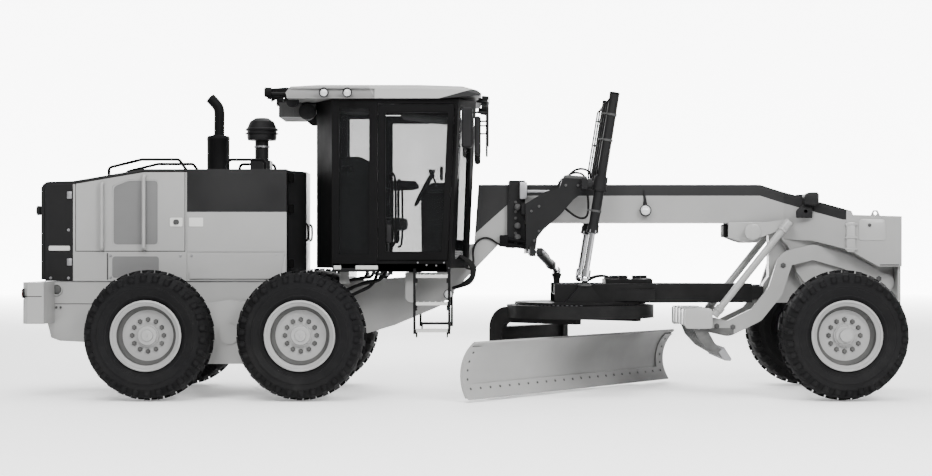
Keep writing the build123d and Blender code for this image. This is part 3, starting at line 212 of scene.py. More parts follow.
def roof_painted_shade(finish):
    """Painted shade: the visor's underside wedge is dark, and the rear side bands are painted partly shaded.
    """
    x, z = finish.along(AHEAD), finish.along(UP)
    wedge = finish.below(finish.along((-0.278, 0, 1)), 3.08 + 0.278 * 0.29)
    band = finish.below(finish.along((1, 0, 0.53)), -0.987 + 0.53 * 3.13)
    band = finish.times(band, 0.35, finish.below(z, 3.2))
    return finish.most(finish.times(wedge, finish.above(x, -0.29)), band)


def blade_painted_shade(finish):
    """Painted shade: the blade is darkened towards its leading end, which lies in shadow under the machine,
    in noisy blotches.
    """
    share = finish.times(finish.along((0.629, 0.777, 0)), 0.45)
    share = finish.math("MINIMUM", finish.most(share, 0.0), 0.8)
    return finish.times(share, finish.math("ADD", finish.times(finish.noise(1.6, 3), 0.4), 0.6))


def shank_dark(finish):
    """The scarifier's shanks are bare and soiled below their toolbar."""
    share = finish.times(finish.below(finish.along(UP), 0.7), finish.below(finish.along(AHEAD), 2.8))
    return finish.times(share, finish.math("ADD", finish.times(finish.noise(9, 5), 0.5), 0.5))


def rubber(name, slot, base=(0.004, 0.004, 0.0043), dust=0.1, gloss=0.08, low=0.62, high=0.88):
    """Tyre and hose rubber: dull, dusty in the hollows."""
    finish = Finish(name, slot, 1.4)
    colour = finish.blend(finish.cloud, base, tinted(base, 1.7))
    spots = finish.times(finish.noise(14, 6), finish.times(finish.dust, dust))
    finish.use(Base_Color=finish.blend(spots, colour, (0.11, 0.107, 0.1)), Specular_IOR_Level=gloss)
    finish.rough(low, high)
    finish.bump(finish.noise(160, 5), 0.25, 0.0015)
    return finish.material


def metal(name, slot, base, low, high, stretch=(1, 1, 1), strength=0.08, scale=60):
    """Bare metal with directional scuffs."""
    finish = Finish(name, slot)
    scuff = finish.noise(scale, 6, stretch)
    finish.use(Metallic=1, Base_Color=finish.blend(scuff, base, tinted(base, 0.72)))
    finish.rough(low, high, scuff)
    finish.bump(scuff, strength)
    return finish.material


def plastic(name, slot, base, low=0.42, high=0.62, grain=240):
    """Moulded plastic with a fine texture."""
    finish = Finish(name, slot, 3.0)
    colour = finish.blend(finish.cloud, base, tinted(base, 1.35))
    finish.use(Base_Color=finish.blend(finish.times(finish.dust, 0.06), colour, DUST), Specular_IOR_Level=0.1)
    finish.rough(low, high)
    finish.bump(finish.noise(grain, 2), 0.05, 0.0004)
    return finish.material


def cloth(name, slot, base):
    """Woven seat cloth."""
    finish = Finish(name, slot)
    weave = finish.add("TexChecker", {"Vector": finish.place, "Scale": 260}).outputs["Fac"]
    finish.use(Base_Color=finish.blend(weave, base, tinted(base, 1.9)), Sheen_Weight=0.2)
    finish.rough(0.8, 0.95)
    finish.bump(weave, 0.35, 0.0008)
    return finish.material


def mesh_screen(name, slot):
    """Perforated sheet over the cooling air's inlet."""
    finish = Finish(name, slot)
    holes = {"Vector": finish.place, "Scale": 95, "Randomness": 0.0}
    holes = finish.add("TexVoronoi", holes).outputs["Distance"]
    colour = finish.blend(finish.cloud, (0.1, 0.1, 0.1), (0.085, 0.085, 0.085))
    finish.use(Base_Color=finish.blend(finish.below(holes, 0.36), colour, (0.015, 0.015, 0.015)))
    finish.rough(0.45, 0.65)
    finish.bump(holes, 0.4, 0.003)
    return finish.material


def pane(name, slot, tint, alpha):
    """Thin tinted glass, a little cloudy."""
    finish = Finish(name, slot, 3.4)
    finish.use(
        Base_Color=finish.blend(finish.cloud, tint, tinted(tint, 0.85)), Specular_IOR_Level=0.4,
        Alpha=finish.ramp(finish.cloud, alpha, alpha + 0.05),
    )
    finish.rough(0.03, 0.09)
    finish.material.surface_render_method = "BLENDED"
    return finish.material


def lens(name, slot, base):
    """Ribbed lamp lens."""
    finish = Finish(name, slot)
    ribs = finish.add("TexWave", {"Vector": finish.place, "Scale": 40}).outputs["Fac"]
    finish.use(Base_Color=finish.blend(ribs, base, tinted(base, 0.75)), Coat_Weight=0.8)
    finish.rough(0.08, 0.2)
    finish.bump(ribs, 0.3, 0.002)
    return finish.material


# Each finish call lists the material slot that its pieces usually take.
DULL = {"rough": 0.5, "coat": 0.0}
GRIMY = {"rough": 0.6, "coat": 0.0}
PAINT = enamel("light_enamel", "paint", LIGHT)
HOOD_PAINT = enamel("hood_enamel", "paint", LIGHT, dark_where=hood_dark)
BEAM_PAINT = enamel("beam_enamel", "paint", tinted(LIGHT, 0.9), dark_where=beam_dark)
DARK_PAINT = enamel("dark_enamel", "dark_paint", DARK, rough=0.46, coat=0.02, dust=0.08, gloss=0.1)
TRIM_PAINT = enamel("trim_enamel", "dark_paint", BLACK, dust=0.05, gloss=0.05, **DULL)
CHASSIS_PAINT = enamel("chassis_enamel", "steel", (0.045, 0.045, 0.045), dust=0.2, gloss=0.12, **DULL)
LINK_PAINT = enamel("linkage_enamel", "dark_paint", (0.006, 0.006, 0.0062), dust=0.06, gloss=0.06, **DULL)
RIM_PAINT = enamel("wheel_enamel", "rim", (0.25, 0.25, 0.247), 0.4, 0.1, 0.3, 1.0)
BLADE_GREY = (0.28, 0.28, 0.276)
BLADE_PAINT = enamel("blade_enamel", "paint", BLADE_GREY, 0.45, 0.05, 0.3, 0.7, dark_where=blade_painted_shade)
ROOF_PAINT = enamel("roof_enamel", "paint", (0.272, 0.272, 0.268), 0.45, 0.08, 0.1, dark_where=roof_painted_shade)
# Dark grimy enamel for the wheel nuts and tail reflectors, also used as painted shade in the wheels' wells.
GRIME_AND_SHADE_PAINT = enamel("grimy_and_shade_enamel", "steel", (0.05, 0.05, 0.049), dust=0.2, **GRIMY)
TYRE_RUBBER = rubber("tyre_rubber", "tyre")
WALL_RUBBER = rubber("wall_rubber", "tyre", (0.0012, 0.0012, 0.0013), 0.02, 0.3, 0.28, 0.42)
HOSE_RUBBER = rubber("hose_rubber", "plastic", (0.006, 0.006, 0.006), 0.1)
CHROME = metal("rod_chrome", "chrome", (0.78, 0.78, 0.8), 0.05, 0.16, (1, 1, 6), 0.02, 30)
STEEL = metal("worn_steel", "steel", (0.27, 0.27, 0.28), 0.34, 0.58, (1, 1, 5), 0.15)
CAST = enamel("cast_block", "cast", (0.05, 0.05, 0.05), dust=0.3, dust_height=2.4, **GRIMY)
INTERIOR = plastic("cab_interior_plastic", "plastic", (0.004, 0.004, 0.0042), 0.6, 0.75, 60)
PLASTIC = plastic("moulded_plastic", "plastic", (0.006, 0.006, 0.0064), 0.46, 0.66)
CLOTH = cloth("seat_cloth", "fabric", (0.02, 0.02, 0.022))
SCREEN = mesh_screen("perforated_sheet", "steel")
GLASS = pane("tinted_glass", "glass", (0.006, 0.0066, 0.007), 0.42)
LENS = lens("lamp_lens", "lamp", (0.5, 0.505, 0.51))
RED_LENS = lens("red_lens", "lamp", (0.3, 0.02, 0.02))
LABEL = enamel("blank_plate", "plastic", (0.48, 0.48, 0.465), rough=0.4, coat=0.0, dust=0.1)
# Lighter copy of the light enamel, painted as the highlight on the hood's sloping lower panel.
WEDGE_HIGHLIGHT_PAINT = enamel("wedge_painted_highlight", "paint", tinted(LIGHT, 1.22))
# Painted shade: the scarifier's enamel is a darker copy of the light enamel; its shanks are darker still
# below the toolbar.
SHADED_SCARIFIER_PAINT = enamel("scarifier_shaded_enamel", "paint", tinted(LIGHT, 0.88), dark_where=shank_dark)
PALE = enamel("pale_strip", "plastic", (0.42, 0.42, 0.405), rough=0.35, coat=0.3, dust=0.1)
# Flat black for grooves, seals, the door threshold and latches; also painted shade in the exhaust's mouth,
# behind the hood doors' gaps and on the drawbar's rear cross member.
FLAT_BLACK_AND_SHADE = enamel("flat_black_and_shade", "dark_paint", (0.003, 0.003, 0.003), dust=0.05, gloss=0.0, **GRIMY)
MIRROR = metal("mirror_glass", "glass", (0.85, 0.86, 0.87), 0.02, 0.05, (1, 1, 1), 0.0)

SLOT_FINISH = {
    "paint": PAINT, "dark_paint": DARK_PAINT, "chassis": CHASSIS_PAINT, "tyre": TYRE_RUBBER, "rim": RIM_PAINT,
    "glass": GLASS, "chrome": CHROME, "steel": STEEL, "plastic": PLASTIC, "fabric": CLOTH, "lamp": TRIM_PAINT,
    "cast": CAST,
}
NODES_OF_FINISH = (
    (PAINT, "rear_frame scarifier_struts tandem_cases"), (HOOD_PAINT, "hood hood_door_right hood_door_left"),
    (BEAM_PAINT, "front_frame"), (ROOF_PAINT, "cab_roof"), (BLADE_PAINT, "moldboard"),
    (TRIM_PAINT, "cab_shell cab_door_right cab_door_left exhaust steps hood_rails"),
    (PLASTIC, "air_intake mirrors"), (LINK_PAINT, "circle drawbar"), (SHADED_SCARIFIER_PAINT, "scarifier"),
    (INTERIOR, "console seat"),
)


def dress_nodes():
    """Each CAD node gets its own finish, or else its slot's."""
    own = {node: finish for finish, nodes in NODES_OF_FINISH for node in nodes.split()}
    for row in frame["record"]["subparts"]:
        materials = frame["nodes"][row["node"]].data.materials
        materials.clear()
        materials.append(own.get(row["node"], SLOT_FINISH[row["material_slot"]]))


dress_nodes()

# ---- tools --------------------------------------------------------------------------------------
OUTWARD = (bpy.ops.mesh.normals_make_consistent, {"inside": False})
MERGED = (bpy.ops.mesh.remove_doubles, {"threshold": 0.0002})


def bevelled(offset, segments):
    return bpy.ops.mesh.bevel, {"offset": offset, "segments": segments, "affect": "EDGES"}


def pushed(move):
    return bpy.ops.mesh.extrude_region_move, {"TRANSFORM_OT_translate": {"value": move}}


def start():
    bpy.ops.object.select_all(action="DESELECT")


def select(*pieces):
    """Selects just these pieces, with the first one active."""
    start()
    for piece in pieces:
        piece.select_set(True)
    bpy.context.view_layer.objects.active = pieces[0]


def edit(on):
    bpy.ops.object.mode_set(mode="EDIT" if on else "OBJECT")


def edited(*steps):
    """Runs the operators in edit mode, each on the whole of the active mesh."""
    edit(True)
    for operator, settings in steps:
        bpy.ops.mesh.select_all(action="SELECT")
        operator(**settings)
    edit(False)
    return bpy.context.object


def settle():
    """Applies the active object's place to its mesh."""
    bpy.ops.object.transform_apply(location=True, rotation=True, scale=True)
    return bpy.context.object


def stand(piece, at, along=None, turn=ORIGIN):
    """Puts a piece made at the origin at a point, its Z along a direction or itself turned."""
    piece.rotation_euler = turn if along is None else Vector(along).to_track_quat("Z", "Y").to_euler()
    piece.location = at
    select(piece)
    return settle()


def copy_of(piece):
    """A copy with its own mesh."""
    twin = piece.copy()
    twin.data = piece.data.copy()
    bpy.context.collection.objects.link(twin)
    return twin


def flipped(piece):
    """Turns a piece into its mirror image on the machine's other side."""
    piece.scale = (1, -1, 1)
    select(piece)
    settle()
    return edited(OUTWARD)


def fuse(*pieces):
    """Joins pieces into one object."""
    select(*pieces)
    bpy.ops.object.join()
    return bpy.context.object


def carve(piece, cutter):
    """Takes the cutter's shape out of the piece."""
    select(piece)
    modifier = piece.modifiers.new("cut", "BOOLEAN")
    modifier.operation = "DIFFERENCE"
    modifier.object = cutter
    modifier.solver = "EXACT"
    bpy.ops.object.modifier_apply(modifier="cut")
    bpy.data.objects.remove(cutter)
    return piece


def block(low, high, bevel=0.006, segments=2):
    """Block between two corners with its edges rounded."""
    start()
    bpy.ops.mesh.primitive_cube_add(size=1, location=[(a + b) / 2 for a, b in zip(low, high)])
    bpy.context.object.scale = [b - a for a, b in zip(low, high)]
    settle()
    return edited(bevelled(bevel, segments))


def turned(stations, sides=32, at=None, along=None, closed=True):
    """Round piece: a circle extruded through (radius, height) stations, stood at a point."""
    start()
    radius, height = stations[0]
    fill = "NGON" if closed else "NOTHING"
    bpy.ops.mesh.primitive_circle_add(vertices=sides, radius=radius, location=(0, 0, height), fill_type=fill)
    settle()
    edit(True)
    bpy.ops.mesh.select_all(action="SELECT")
    for next_radius, next_height in stations[1:]:
        bpy.ops.mesh.extrude_region_move(TRANSFORM_OT_translate={"value": (0, 0, next_height - height)})
        share = next_radius / radius
        bpy.ops.transform.resize(value=(share, share, 1), center_override=(0, 0, next_height))
        radius, height = next_radius, next_height
    edit(False)
    piece = edited(OUTWARD)
    return piece if at is None else stand(piece, at, along)


def ring(stations, sides=64, at=ORIGIN, along=UP):
    """Closed ring through (radius, height) stations, stood at a point."""
    turned(stations + stations[:1], sides, closed=False)
    return stand(edited(MERGED, OUTWARD), at, along)


def rod(first, second, radius, sides=20, bevel=0.003):
    """Round bar between two points with chamfered ends."""
    axis = Vector(second) - Vector(first)
    inner = radius - bevel
    stations = [(inner, 0), (radius, bevel), (radius, axis.length - bevel), (inner, axis.length)]
    return turned(stations, sides, first, axis)


def hose(points, radius, resolution=6, rings=3):
    """Fixed line along a smooth curve."""
    start()
    bpy.ops.curve.primitive_nurbs_path_add(location=ORIGIN)
    curve = bpy.context.object.data
    curve.splines.clear()
    spline = curve.splines.new("NURBS")
    spline.points.add(len(points) - 1)
    for point, place in zip(spline.points, points):
        point.co = (*place, 1)
    spline.order_u = 3
    spline.use_endpoint_u = True
    spline.resolution_u = resolution
    curve.bevel_depth = radius
    curve.bevel_resolution = rings
    curve.use_fill_caps = True
    bpy.ops.object.convert(target="MESH")
    return bpy.context.object


def plate(points, y, depth, bevel=0.0, segments=2):
    """Sheet or block with an outline of (x, z) points at y, its thickness along Y, its edges rounded.

    The outline is drawn from one vertex, extruded from point to point.
    """
    start()
    bpy.ops.mesh.primitive_plane_add(size=1, location=ORIGIN)
    settle()
    edit(True)
    bpy.ops.mesh.select_mode(type="VERT")
    bpy.ops.mesh.select_all(action="SELECT")
    bpy.ops.mesh.merge(type="CENTER")
    here = Vector((points[0][0], y, points[0][1]))
    bpy.ops.transform.translate(value=here)
    for x, z in points[1:]:
        place = Vector((x, y, z))
        bpy.ops.mesh.extrude_region_move(TRANSFORM_OT_translate={"value": place - here})
        here = place
    edit(False)
    steps = [(bpy.ops.mesh.edge_face_add, {}), pushed((0, depth, 0)), OUTWARD]
    return edited(*steps, *([bevelled(bevel, segments)] if bevel else []))


def panel(x0, x1, z0, z1, radius, steps=4):
    """Outline of a panel with rounded corners."""
    points = []
    corners = ((x1 - radius, z1 - radius), (x0 + radius, z1 - radius))
    corners += ((x0 + radius, z0 + radius), (x1 - radius, z0 + radius))
    for number, (x, z) in enumerate(corners):
        for step in range(steps + 1):
            angle = radians(90 * number + 90 * step / steps)
            points.append((x + radius * cos(angle), z + radius * sin(angle)))
    return points


def rounded(points, radius):
    """The outline with each corner cut back by radius and rounded."""
    result = []
    for number, point in enumerate(points):
        corner = Vector(point)
        others = (points[number - 1], points[(number + 1) % len(points)])
        first, last = (corner + (Vector(other) - corner).normalized() * radius for other in others)
        result += [first, (first + last + corner * 2) / 4, last]
    return [tuple(place) for place in result]


def bolt_heads(places, direction=RIGHT, radius=0.012, height=0.009):
    """Hex heads at the places, all facing one direction."""
    head = turned([(radius, -0.004), (radius, height * 0.75), (radius * 0.8, height)], 6, ORIGIN, direction)
    heads = [head] + [copy_of(head) for place in places[1:]]
    return fuse(*[stand(each, place) for each, place in zip(heads, places)])


def done(name, piece, finish, body="front", smooth=35):
    """Names a finished piece, gives it its finish and fixes it to its body."""
    select(piece)
    bpy.ops.object.shade_smooth_by_angle(angle=radians(smooth))
    piece.name = name
    piece.data.name = name
    piece.data.materials.clear()
    piece.data.materials.append(finish)
    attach(piece, body)
    return piece


def both(name, piece, finish, body="front", smooth=35):
    """A right-hand piece and its mirror image; {} in the body's name is right or left."""
    twin = flipped(copy_of(piece))
    for side, made in (("right", piece), ("left", twin)):
        done(f"{name}_{side}", made, finish, body.format(side), smooth)


# ---- wheels -------------------------------------------------------------------------------------
TYRE_LOW, TYRE_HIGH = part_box("tyre_right_steer")
TYRE_RADIUS = (TYRE_HIGH[2] - TYRE_LOW[2]) / 2
TYRE_HALF = (TYRE_HIGH[1] - TYRE_LOW[1]) / 2
RIM_RADIUS = 0.357
BEAD_RADIUS = RIM_RADIUS - 0.03
WALL_RADIUS = 0.475          # the smooth, glossier side wall ends here
LUGS, WHEEL_NUTS = 30, 12
FLANGE = -(TYRE_HALF - 0.032)
DISC = FLANGE + 0.13


def shift(piece, chosen, move):
    """Moves the vertices that are chosen by their place, with nothing else left selected."""
    edit(True)
    bpy.ops.mesh.select_mode(type="VERT")
    bpy.ops.mesh.select_all(action="DESELECT")
    edit(False)
    for vertex in piece.data.vertices:
        vertex.select = chosen(vertex.co)
    edit(True)
    bpy.ops.transform.translate(value=move)
    edit(False)


def tread_lug(side):
    """One chunky lug that runs from the middle of the tread out over the shoulder."""
    low, top, shoulder = TYRE_RADIUS - 0.042, TYRE_RADIUS - 0.0055, 0.1
    lug = block((-0.026, 0.012, low), (0.026, TYRE_HALF + 0.004, top), 0.0001, 1)
    shift(lug, lambda at: at.y > shoulder and at.z < low + 0.01, (-0.02, 0, -0.075))
    shift(lug, lambda at: at.y > shoulder and at.z > low + 0.01, (-0.02, 0, -0.05))
    shift(lug, lambda at: at.y < shoulder, (0.02, 0, 0))
    edited(bevelled(0.005, 1), OUTWARD)
    return flipped(lug) if side < 0 else lug


def tread_row(side, turn):
    """Ring of lugs on one side, turned by a share of their spacing."""
    lug = tread_lug(side)
    turns = [2 * pi * (number + turn) / LUGS for number in range(LUGS)]
    row = [stand(copy_of(lug), ORIGIN, turn=(0, angle, 0)) for angle in turns]
    bpy.data.objects.remove(lug)
    return row


def detailed_tyre():
    """Casing with moulded rings, bead and two rows of lugs, about the origin with the axle along Y."""
    half, tread = TYRE_HALF, TYRE_RADIUS - 0.03
    wall = [
        (RIM_RADIUS - 0.004, 0.165), (RIM_RADIUS + 0.012, 0.176), (0.392, 0.193), (0.4, 0.2), (0.412, 0.2),
        (0.42, 0.206), (0.47, half - 0.004), (0.476, half), (0.486, half), (0.492, half - 0.005),
        (0.53, half - 0.007), (0.536, half - 0.004), (0.546, half - 0.005), (0.552, half - 0.012),
        (0.585, half - 0.025), (tread - 0.012, half - 0.06), (tread, half - 0.09), (tread + 0.002, 0.03),
    ]
    stations = [(r, -y) for r, y in wall] + [(r, y) for r, y in reversed(wall)]
    casing = ring(stations + [(BEAD_RADIUS, 0.16), (BEAD_RADIUS, -0.16)], 96, ORIGIN, (0, 1, 0))
    tyre = fuse(casing, *tread_row(-1, 0), *tread_row(1, 0.5))
    for face in tyre.data.polygons:
        face.material_index = int(Vector((face.center.x, face.center.z)).length < WALL_RADIUS)
    return tyre


def wheel_nuts():
    """Ring of hex nuts with washers on the wheel disc, and the valve."""
    nut = [(0.027, 0), (0.027, 0.005), (0.021, 0.006), (0.021, 0.024), (0.017, 0.028)]
    angles = [2 * pi * number / WHEEL_NUTS for number in range(WHEEL_NUTS)]
    nuts = [turned(nut, 6, (0.16 * sin(angle), DISC, 0.16 * cos(angle)), RIGHT) for angle in angles]
    return fuse(*nuts, rod((0.225, DISC, 0.15), (0.245, DISC - 0.07, 0.163), 0.008, 10))


def hub_cap():
    """Stepped cover over the middle of the wheel disc, with its centre bolt."""
    steps = [(0.1, 0), (0.1, 0.012), (0.092, 0.02), (0.06, 0.024), (0.056, 0.036)]
    steps += [(0.034, 0.04), (0.012, 0.041)]
    return turned(steps + [(0.011, 0.048)], 40, (0, DISC - 0.03, 0), RIGHT)


def lock_ring():
    """Rolled lock ring standing proud of the flange."""
    lip = [(0.357, -0.004), (0.3583, 0.004), (0.354, 0.012), (0.345, 0.016), (0.337, 0.013), (0.332, 0.005)]
    return ring(lip + [(0.332, -0.004)], 96, (0, FLANGE, 0), RIGHT)


def wheel_well_shade():
    """Dark ring painted as the shade in the corner where the disc meets the wheel's barrel."""
    corner = [(0.258, 0.0015), (0.2935, 0.0355), (0.297, 0.1), (0.2945, 0.1), (0.29, 0.038), (0.256, 0.0045)]
    return ring(corner, 96, (0, DISC, 0), RIGHT)


WHEEL_PIECES = (
    ("nuts", wheel_nuts, GRIME_AND_SHADE_PAINT, "steel"), ("cap", hub_cap, RIM_PAINT, "rim"),
    ("lock", lock_ring, RIM_PAINT, "rim"), ("well", wheel_well_shade, GRIME_AND_SHADE_PAINT, "rim"),
)


def place_wheels():
    """A tyre in place of each plain one, and the same set of fittings on each wheel."""
    tyre = detailed_tyre()
    for side, turn in (("right", 0), ("left", pi)):
        for place in ("front_tandem", "rear_tandem", "steer"):
            spot = f"{side}_{place}"
            middle = [(a + b) / 2 for a, b in zip(*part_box(f"tyre_{spot}"))]
            tread = stand(copy_of(tyre), middle)
            done(f"tread_{spot}", tread, TYRE_RUBBER, f"wheel_{spot}", smooth=30)
            tread.data.materials.append(WALL_RUBBER)
            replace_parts(tread, f"tyre_{spot}")
            for name, make, finish, slot in WHEEL_PIECES:
                piece = stand(make(), middle, turn=(0, 0, turn))
                done(f"{name}_{spot}", piece, finish, f"wheel_{spot}", 30)
    bpy.data.objects.remove(tyre)


place_wheels()

# ---- hood ---------------------------------------------------------------------------------------
SIDE_Y = -0.58
PANEL_Y = SIDE_Y - 0.003
COOLER_Y = -0.574
DOOR = "hood_door_{}"


def air_screen(gap):
    """Outline of the door's air screen, drawn in by gap, its top sloping at the rear."""
    x0, x1, z0, z1, z2 = -3.7 + gap, -3.215 - gap, 1.565 + gap, 2.19 - gap * 0.7, 2.255 - gap
    return [(x0, z0), (x0, z1), (-3.53, z2), (x1, z2), (x1, z0)]


def hood_screens():
    """Perforated sheets in the doors' recesses and in the lower screwed panels."""
    both("air_screen", plate(rounded(air_screen(0.005), 0.036), SIDE_Y + 0.0095, -0.004), SCREEN, DOOR)
    frame_bar = plate(rounded(air_screen(0.001), 0.04), SIDE_Y + 0.009, -0.007)
    frame_bar = carve(frame_bar, plate(rounded(air_screen(0.014), 0.034), SIDE_Y + 0.02, -0.04))
    both("screen_frame", frame_bar, PAINT, DOOR)
    low = plate(panel(-3.7, -3.215, 1.235, 1.455, 0.03), SIDE_Y + 0.004, -0.007, 0.0015, 1)
    both("lower_screen", low, SCREEN, "rear")


def hood_fittings():
    """Screws, latches, blank label plates and seams of the hood's sides."""
    y = PANEL_Y
    screws = [(x, y, z) for x in (-3.715, -2.99) for z in (1.235, 1.462)]
    screws += [(x, y, z) for x, z in ((-2.872, 1.462), (-1.99, 1.462), (-2.872, 1.245))]
    both("panel_screw", bolt_heads(screws), STEEL, "rear")
    seam = block((-3.755, y - 0.003, 1.212), (-3.742, y + 0.008, 1.49), 0.002, 1)
    both("lower_panel_edge", seam, CHASSIS_PAINT, "rear")
    latch = plate(panel(-3.1, -2.968, 1.765, 1.858, 0.012), y, -0.006, 0.002, 1)
    both("door_latch_plate", latch, LABEL, DOOR)
    pull = plate(panel(-3.064, -3.004, 1.785, 1.838, 0.02), y - 0.005, -0.012, 0.004, 2)
    both("door_latch", pull, CHASSIS_PAINT, DOOR)
    label = plate(panel(-2.9, -2.755, 1.765, 1.858, 0.008), y + 0.001, -0.004, 0.001, 1)
    both("blank_label", label, LABEL, "rear")
    # Lighter plate painted as the highlight on the sloping lower panel.
    wedge = [(-2.82, 1.236), (-1.9, 1.456), (-1.9, 1.29), (-2.12, 1.222)]
    wedge = plate(wedge, SIDE_Y - 0.002, -0.006, 0.002, 1)
    both("panel_wedge_highlight", wedge, WEDGE_HIGHLIGHT_PAINT, "rear")
    # Dark strips inside the hood behind the door's lower and rear gaps, painted shade of the hood's inside.
    backing = block((-4.1, -0.545, 1.485), (-2.94, -0.535, 1.535), 0.002, 1)
    post = block((-2.95, -0.545, 1.24), (-2.915, -0.535, 2.3), 0.002, 1)
    both("door_gap_shade", fuse(backing, post), FLAT_BLACK_AND_SHADE, "rear")


def cooler_fittings():
    """Hinge clips, reflector and screws on the cooling box, the grille's louvres and the rear lamps."""
    y = COOLER_Y
    bar = plate(panel(-4.36, -4.14, 1.515, 1.565, 0.01), y + 0.002, -0.01, 0.003, 1)
    both("reflector_strip", bar, PALE, "rear")
    clips = [block((-4.17, y - 0.016, z), (-4.118, y + 0.004, z + 0.075), 0.006) for z in (1.36, 2.055)]
    both("box_clip", fuse(*clips), STEEL, "rear")
    screws = [(-4.155, y, 1.73), (-4.34, y, 1.23), (-4.155, y, 1.23)]
    both("box_screw", bolt_heads(screws, RIGHT, 0.016, 0.012), STEEL, "rear")
    rows = [1.33 + 0.075 * number for number in range(11)]
    louvres = [block((-4.447, -0.5, z), (-4.44, 0.5, z + 0.045), 0.003, 1) for z in rows]
    done("grille_louvres", fuse(*louvres), TRIM_PAINT, "rear_grille")
    lamp = [(0.03, 0), (0.036, 0.006), (0.036, 0.04), (0.05, 0.055), (0.05, 0.085), (0.042, 0.09)]
    both("rear_work_lamp", turned(lamp, 24, (-4.425, -0.45, 1.935), BACK), PLASTIC, "rear_grille")


def cowl_recesses():
    """Ribbed corner of the cowl with its three latches and its rear handle."""
    x, y = -1.868, -0.567
    pieces = [block((-1.884, y - 0.004, 1.22), (-1.874, y + 0.02, 2.32), 0.003, 1)]
    for z in (1.38, 1.95, 2.27):
        pieces.append(block((x - 0.004, y + 0.005, z - 0.045), (x + 0.05, y + 0.045, z + 0.045), 0.008, 2))
    both("cowl_latch", fuse(*pieces), FLAT_BLACK_AND_SHADE, "rear")
    bends = ((-1.74, 1.62), (-1.71, 1.62), (-1.7, 1.66), (-1.7, 1.76), (-1.71, 1.8), (-1.74, 1.8))
    both("cowl_handle", hose([(x, -0.2, z) for x, z in bends], 0.012), TRIM_PAINT, "rear")


def intake_fittings():
    """Band and clamp on the air intake."""
    low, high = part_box("air_intake")
    x, r = (low[0] + high[0]) / 2, (high[0] - low[0]) / 2
    band = [(r - 0.012, -0.006), (r + 0.002, -0.004), (r + 0.002, 0.008), (r - 0.012, 0.012)]
    done("intake_band", turned(band, 48, (x, 0, 2.77)), PLASTIC, "rear")
    clamp = turned([(0.07, 0), (0.084, 0), (0.084, 0.02), (0.07, 0.02)], 40)
    ear = block((x - 0.012, -0.105, 2.62), (x + 0.012, -0.078, 2.64), 0.003, 1)
    done("intake_clamp", fuse(stand(clamp, (x, 0, 2.62)), ear), STEEL, "rear")


def exhaust_stack():
    """Muffler drum with rolled seams, and a smoothly bent stack, its rear-facing end capped and given a dark
    disc painted as the shade inside its open mouth.
    """
    x = -2.687
    drum = [(0.116, 0), (0.122, 0.006), (0.122, 0.02), (0.12, 0.024), (0.12, 0.34), (0.1225, 0.344)]
    drum += [(0.1225, 0.366), (0.11, 0.386), (0.066, 0.392), (0.06, 0.4)]
    drum = turned(drum, 48, (x, 0, 2.36))
    bends = ((0.01, 2.74), (0.01, 2.88), (0.014, 3.02), (-0.015, 3.085), (-0.088, 3.155))
    pipe = hose([(x + bend, 0, z) for bend, z in bends], 0.056, 12, 8)
    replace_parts(done("exhaust_stack", fuse(drum, pipe), TRIM_PAINT, "rear"), "exhaust")
    mouth = [(0.048, 0), (0.049, 0.002), (0.046, 0.003)]
    mouth = turned(mouth, 32, (x - 0.0885, 0, 3.1555), (-0.72, 0, 0.69))
    done("exhaust_mouth_shade", mouth, FLAT_BLACK_AND_SHADE, "rear")


def tail_lamps():
    """Tail lamps let into the bumper, each with its lens."""
    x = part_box("rear_bumper")[0][0]
    for number, y in enumerate((-0.9, 0.9)):
        case = block((x - 0.004, y - 0.09, 1.03), (x + 0.02, y + 0.09, 1.13), 0.008)
        done(f"tail_case_{number}", case, PLASTIC, "rear")
        glass = block((x - 0.012, y - 0.076, 1.043), (x + 0.004, y + 0.076, 1.117), 0.006)
        done(f"tail_lens_{number}", glass, RED_LENS, "rear")


def tail_details():
    """Groove round the bumper, the round reflectors ahead of it, and seams and bolts on the frame."""
    low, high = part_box("rear_bumper")
    proud, y = 0.0015, -0.56
    low, high = (low[0] - proud, low[1] - proud, 1.046), (high[0] - 0.02, high[1] + proud, 1.053)
    done("bumper_groove", block(low, high, 0.001, 1), FLAT_BLACK_AND_SHADE, "rear")
    boss = [(0.064, -0.004), (0.066, 0.014), (0.06, 0.022), (0.052, 0.02), (0.05, -0.004)]
    both("tail_boss", ring(boss, 40, (-4.28, y, 1.11), RIGHT), PAINT, "rear")
    glass = [(0.052, 0), (0.05, 0.01), (0.03, 0.017), (0.01, 0.019)]
    glass = turned(glass, 32, (-4.28, y - 0.001, 1.11), RIGHT)
    both("tail_reflector", glass, GRIME_AND_SHADE_PAINT, "rear", 60)
    seam = block((-4.32, y - 0.003, 0.958), (-3.9, y + 0.01, 0.966), 0.002, 1)
    both("frame_seam", seam, CHASSIS_PAINT, "rear")
    bolts = [(x, y, 0.925) for x in (-4.285, -4.24)]
    both("frame_bolt", bolt_heads(bolts, RIGHT, 0.014, 0.01), CHASSIS_PAINT, "rear")


hood_screens()
hood_fittings()
cooler_fittings()
cowl_recesses()
intake_fittings()
exhaust_stack()
tail_lamps()
tail_details()

# ---- cab ----------------------------------------------------------------------------------------
SILL_Y = -0.745


def pad(name, low, high):
    """Crowned cushion between two corners."""
    piece = block(low, high, min(b - a for a, b in zip(low, high)) * 0.32, 4)
    piece = edited((bpy.ops.mesh.subdivide, {"number_cuts": 2, "smoothness": 0.6}))
    done(name, piece, CLOTH, smooth=60)


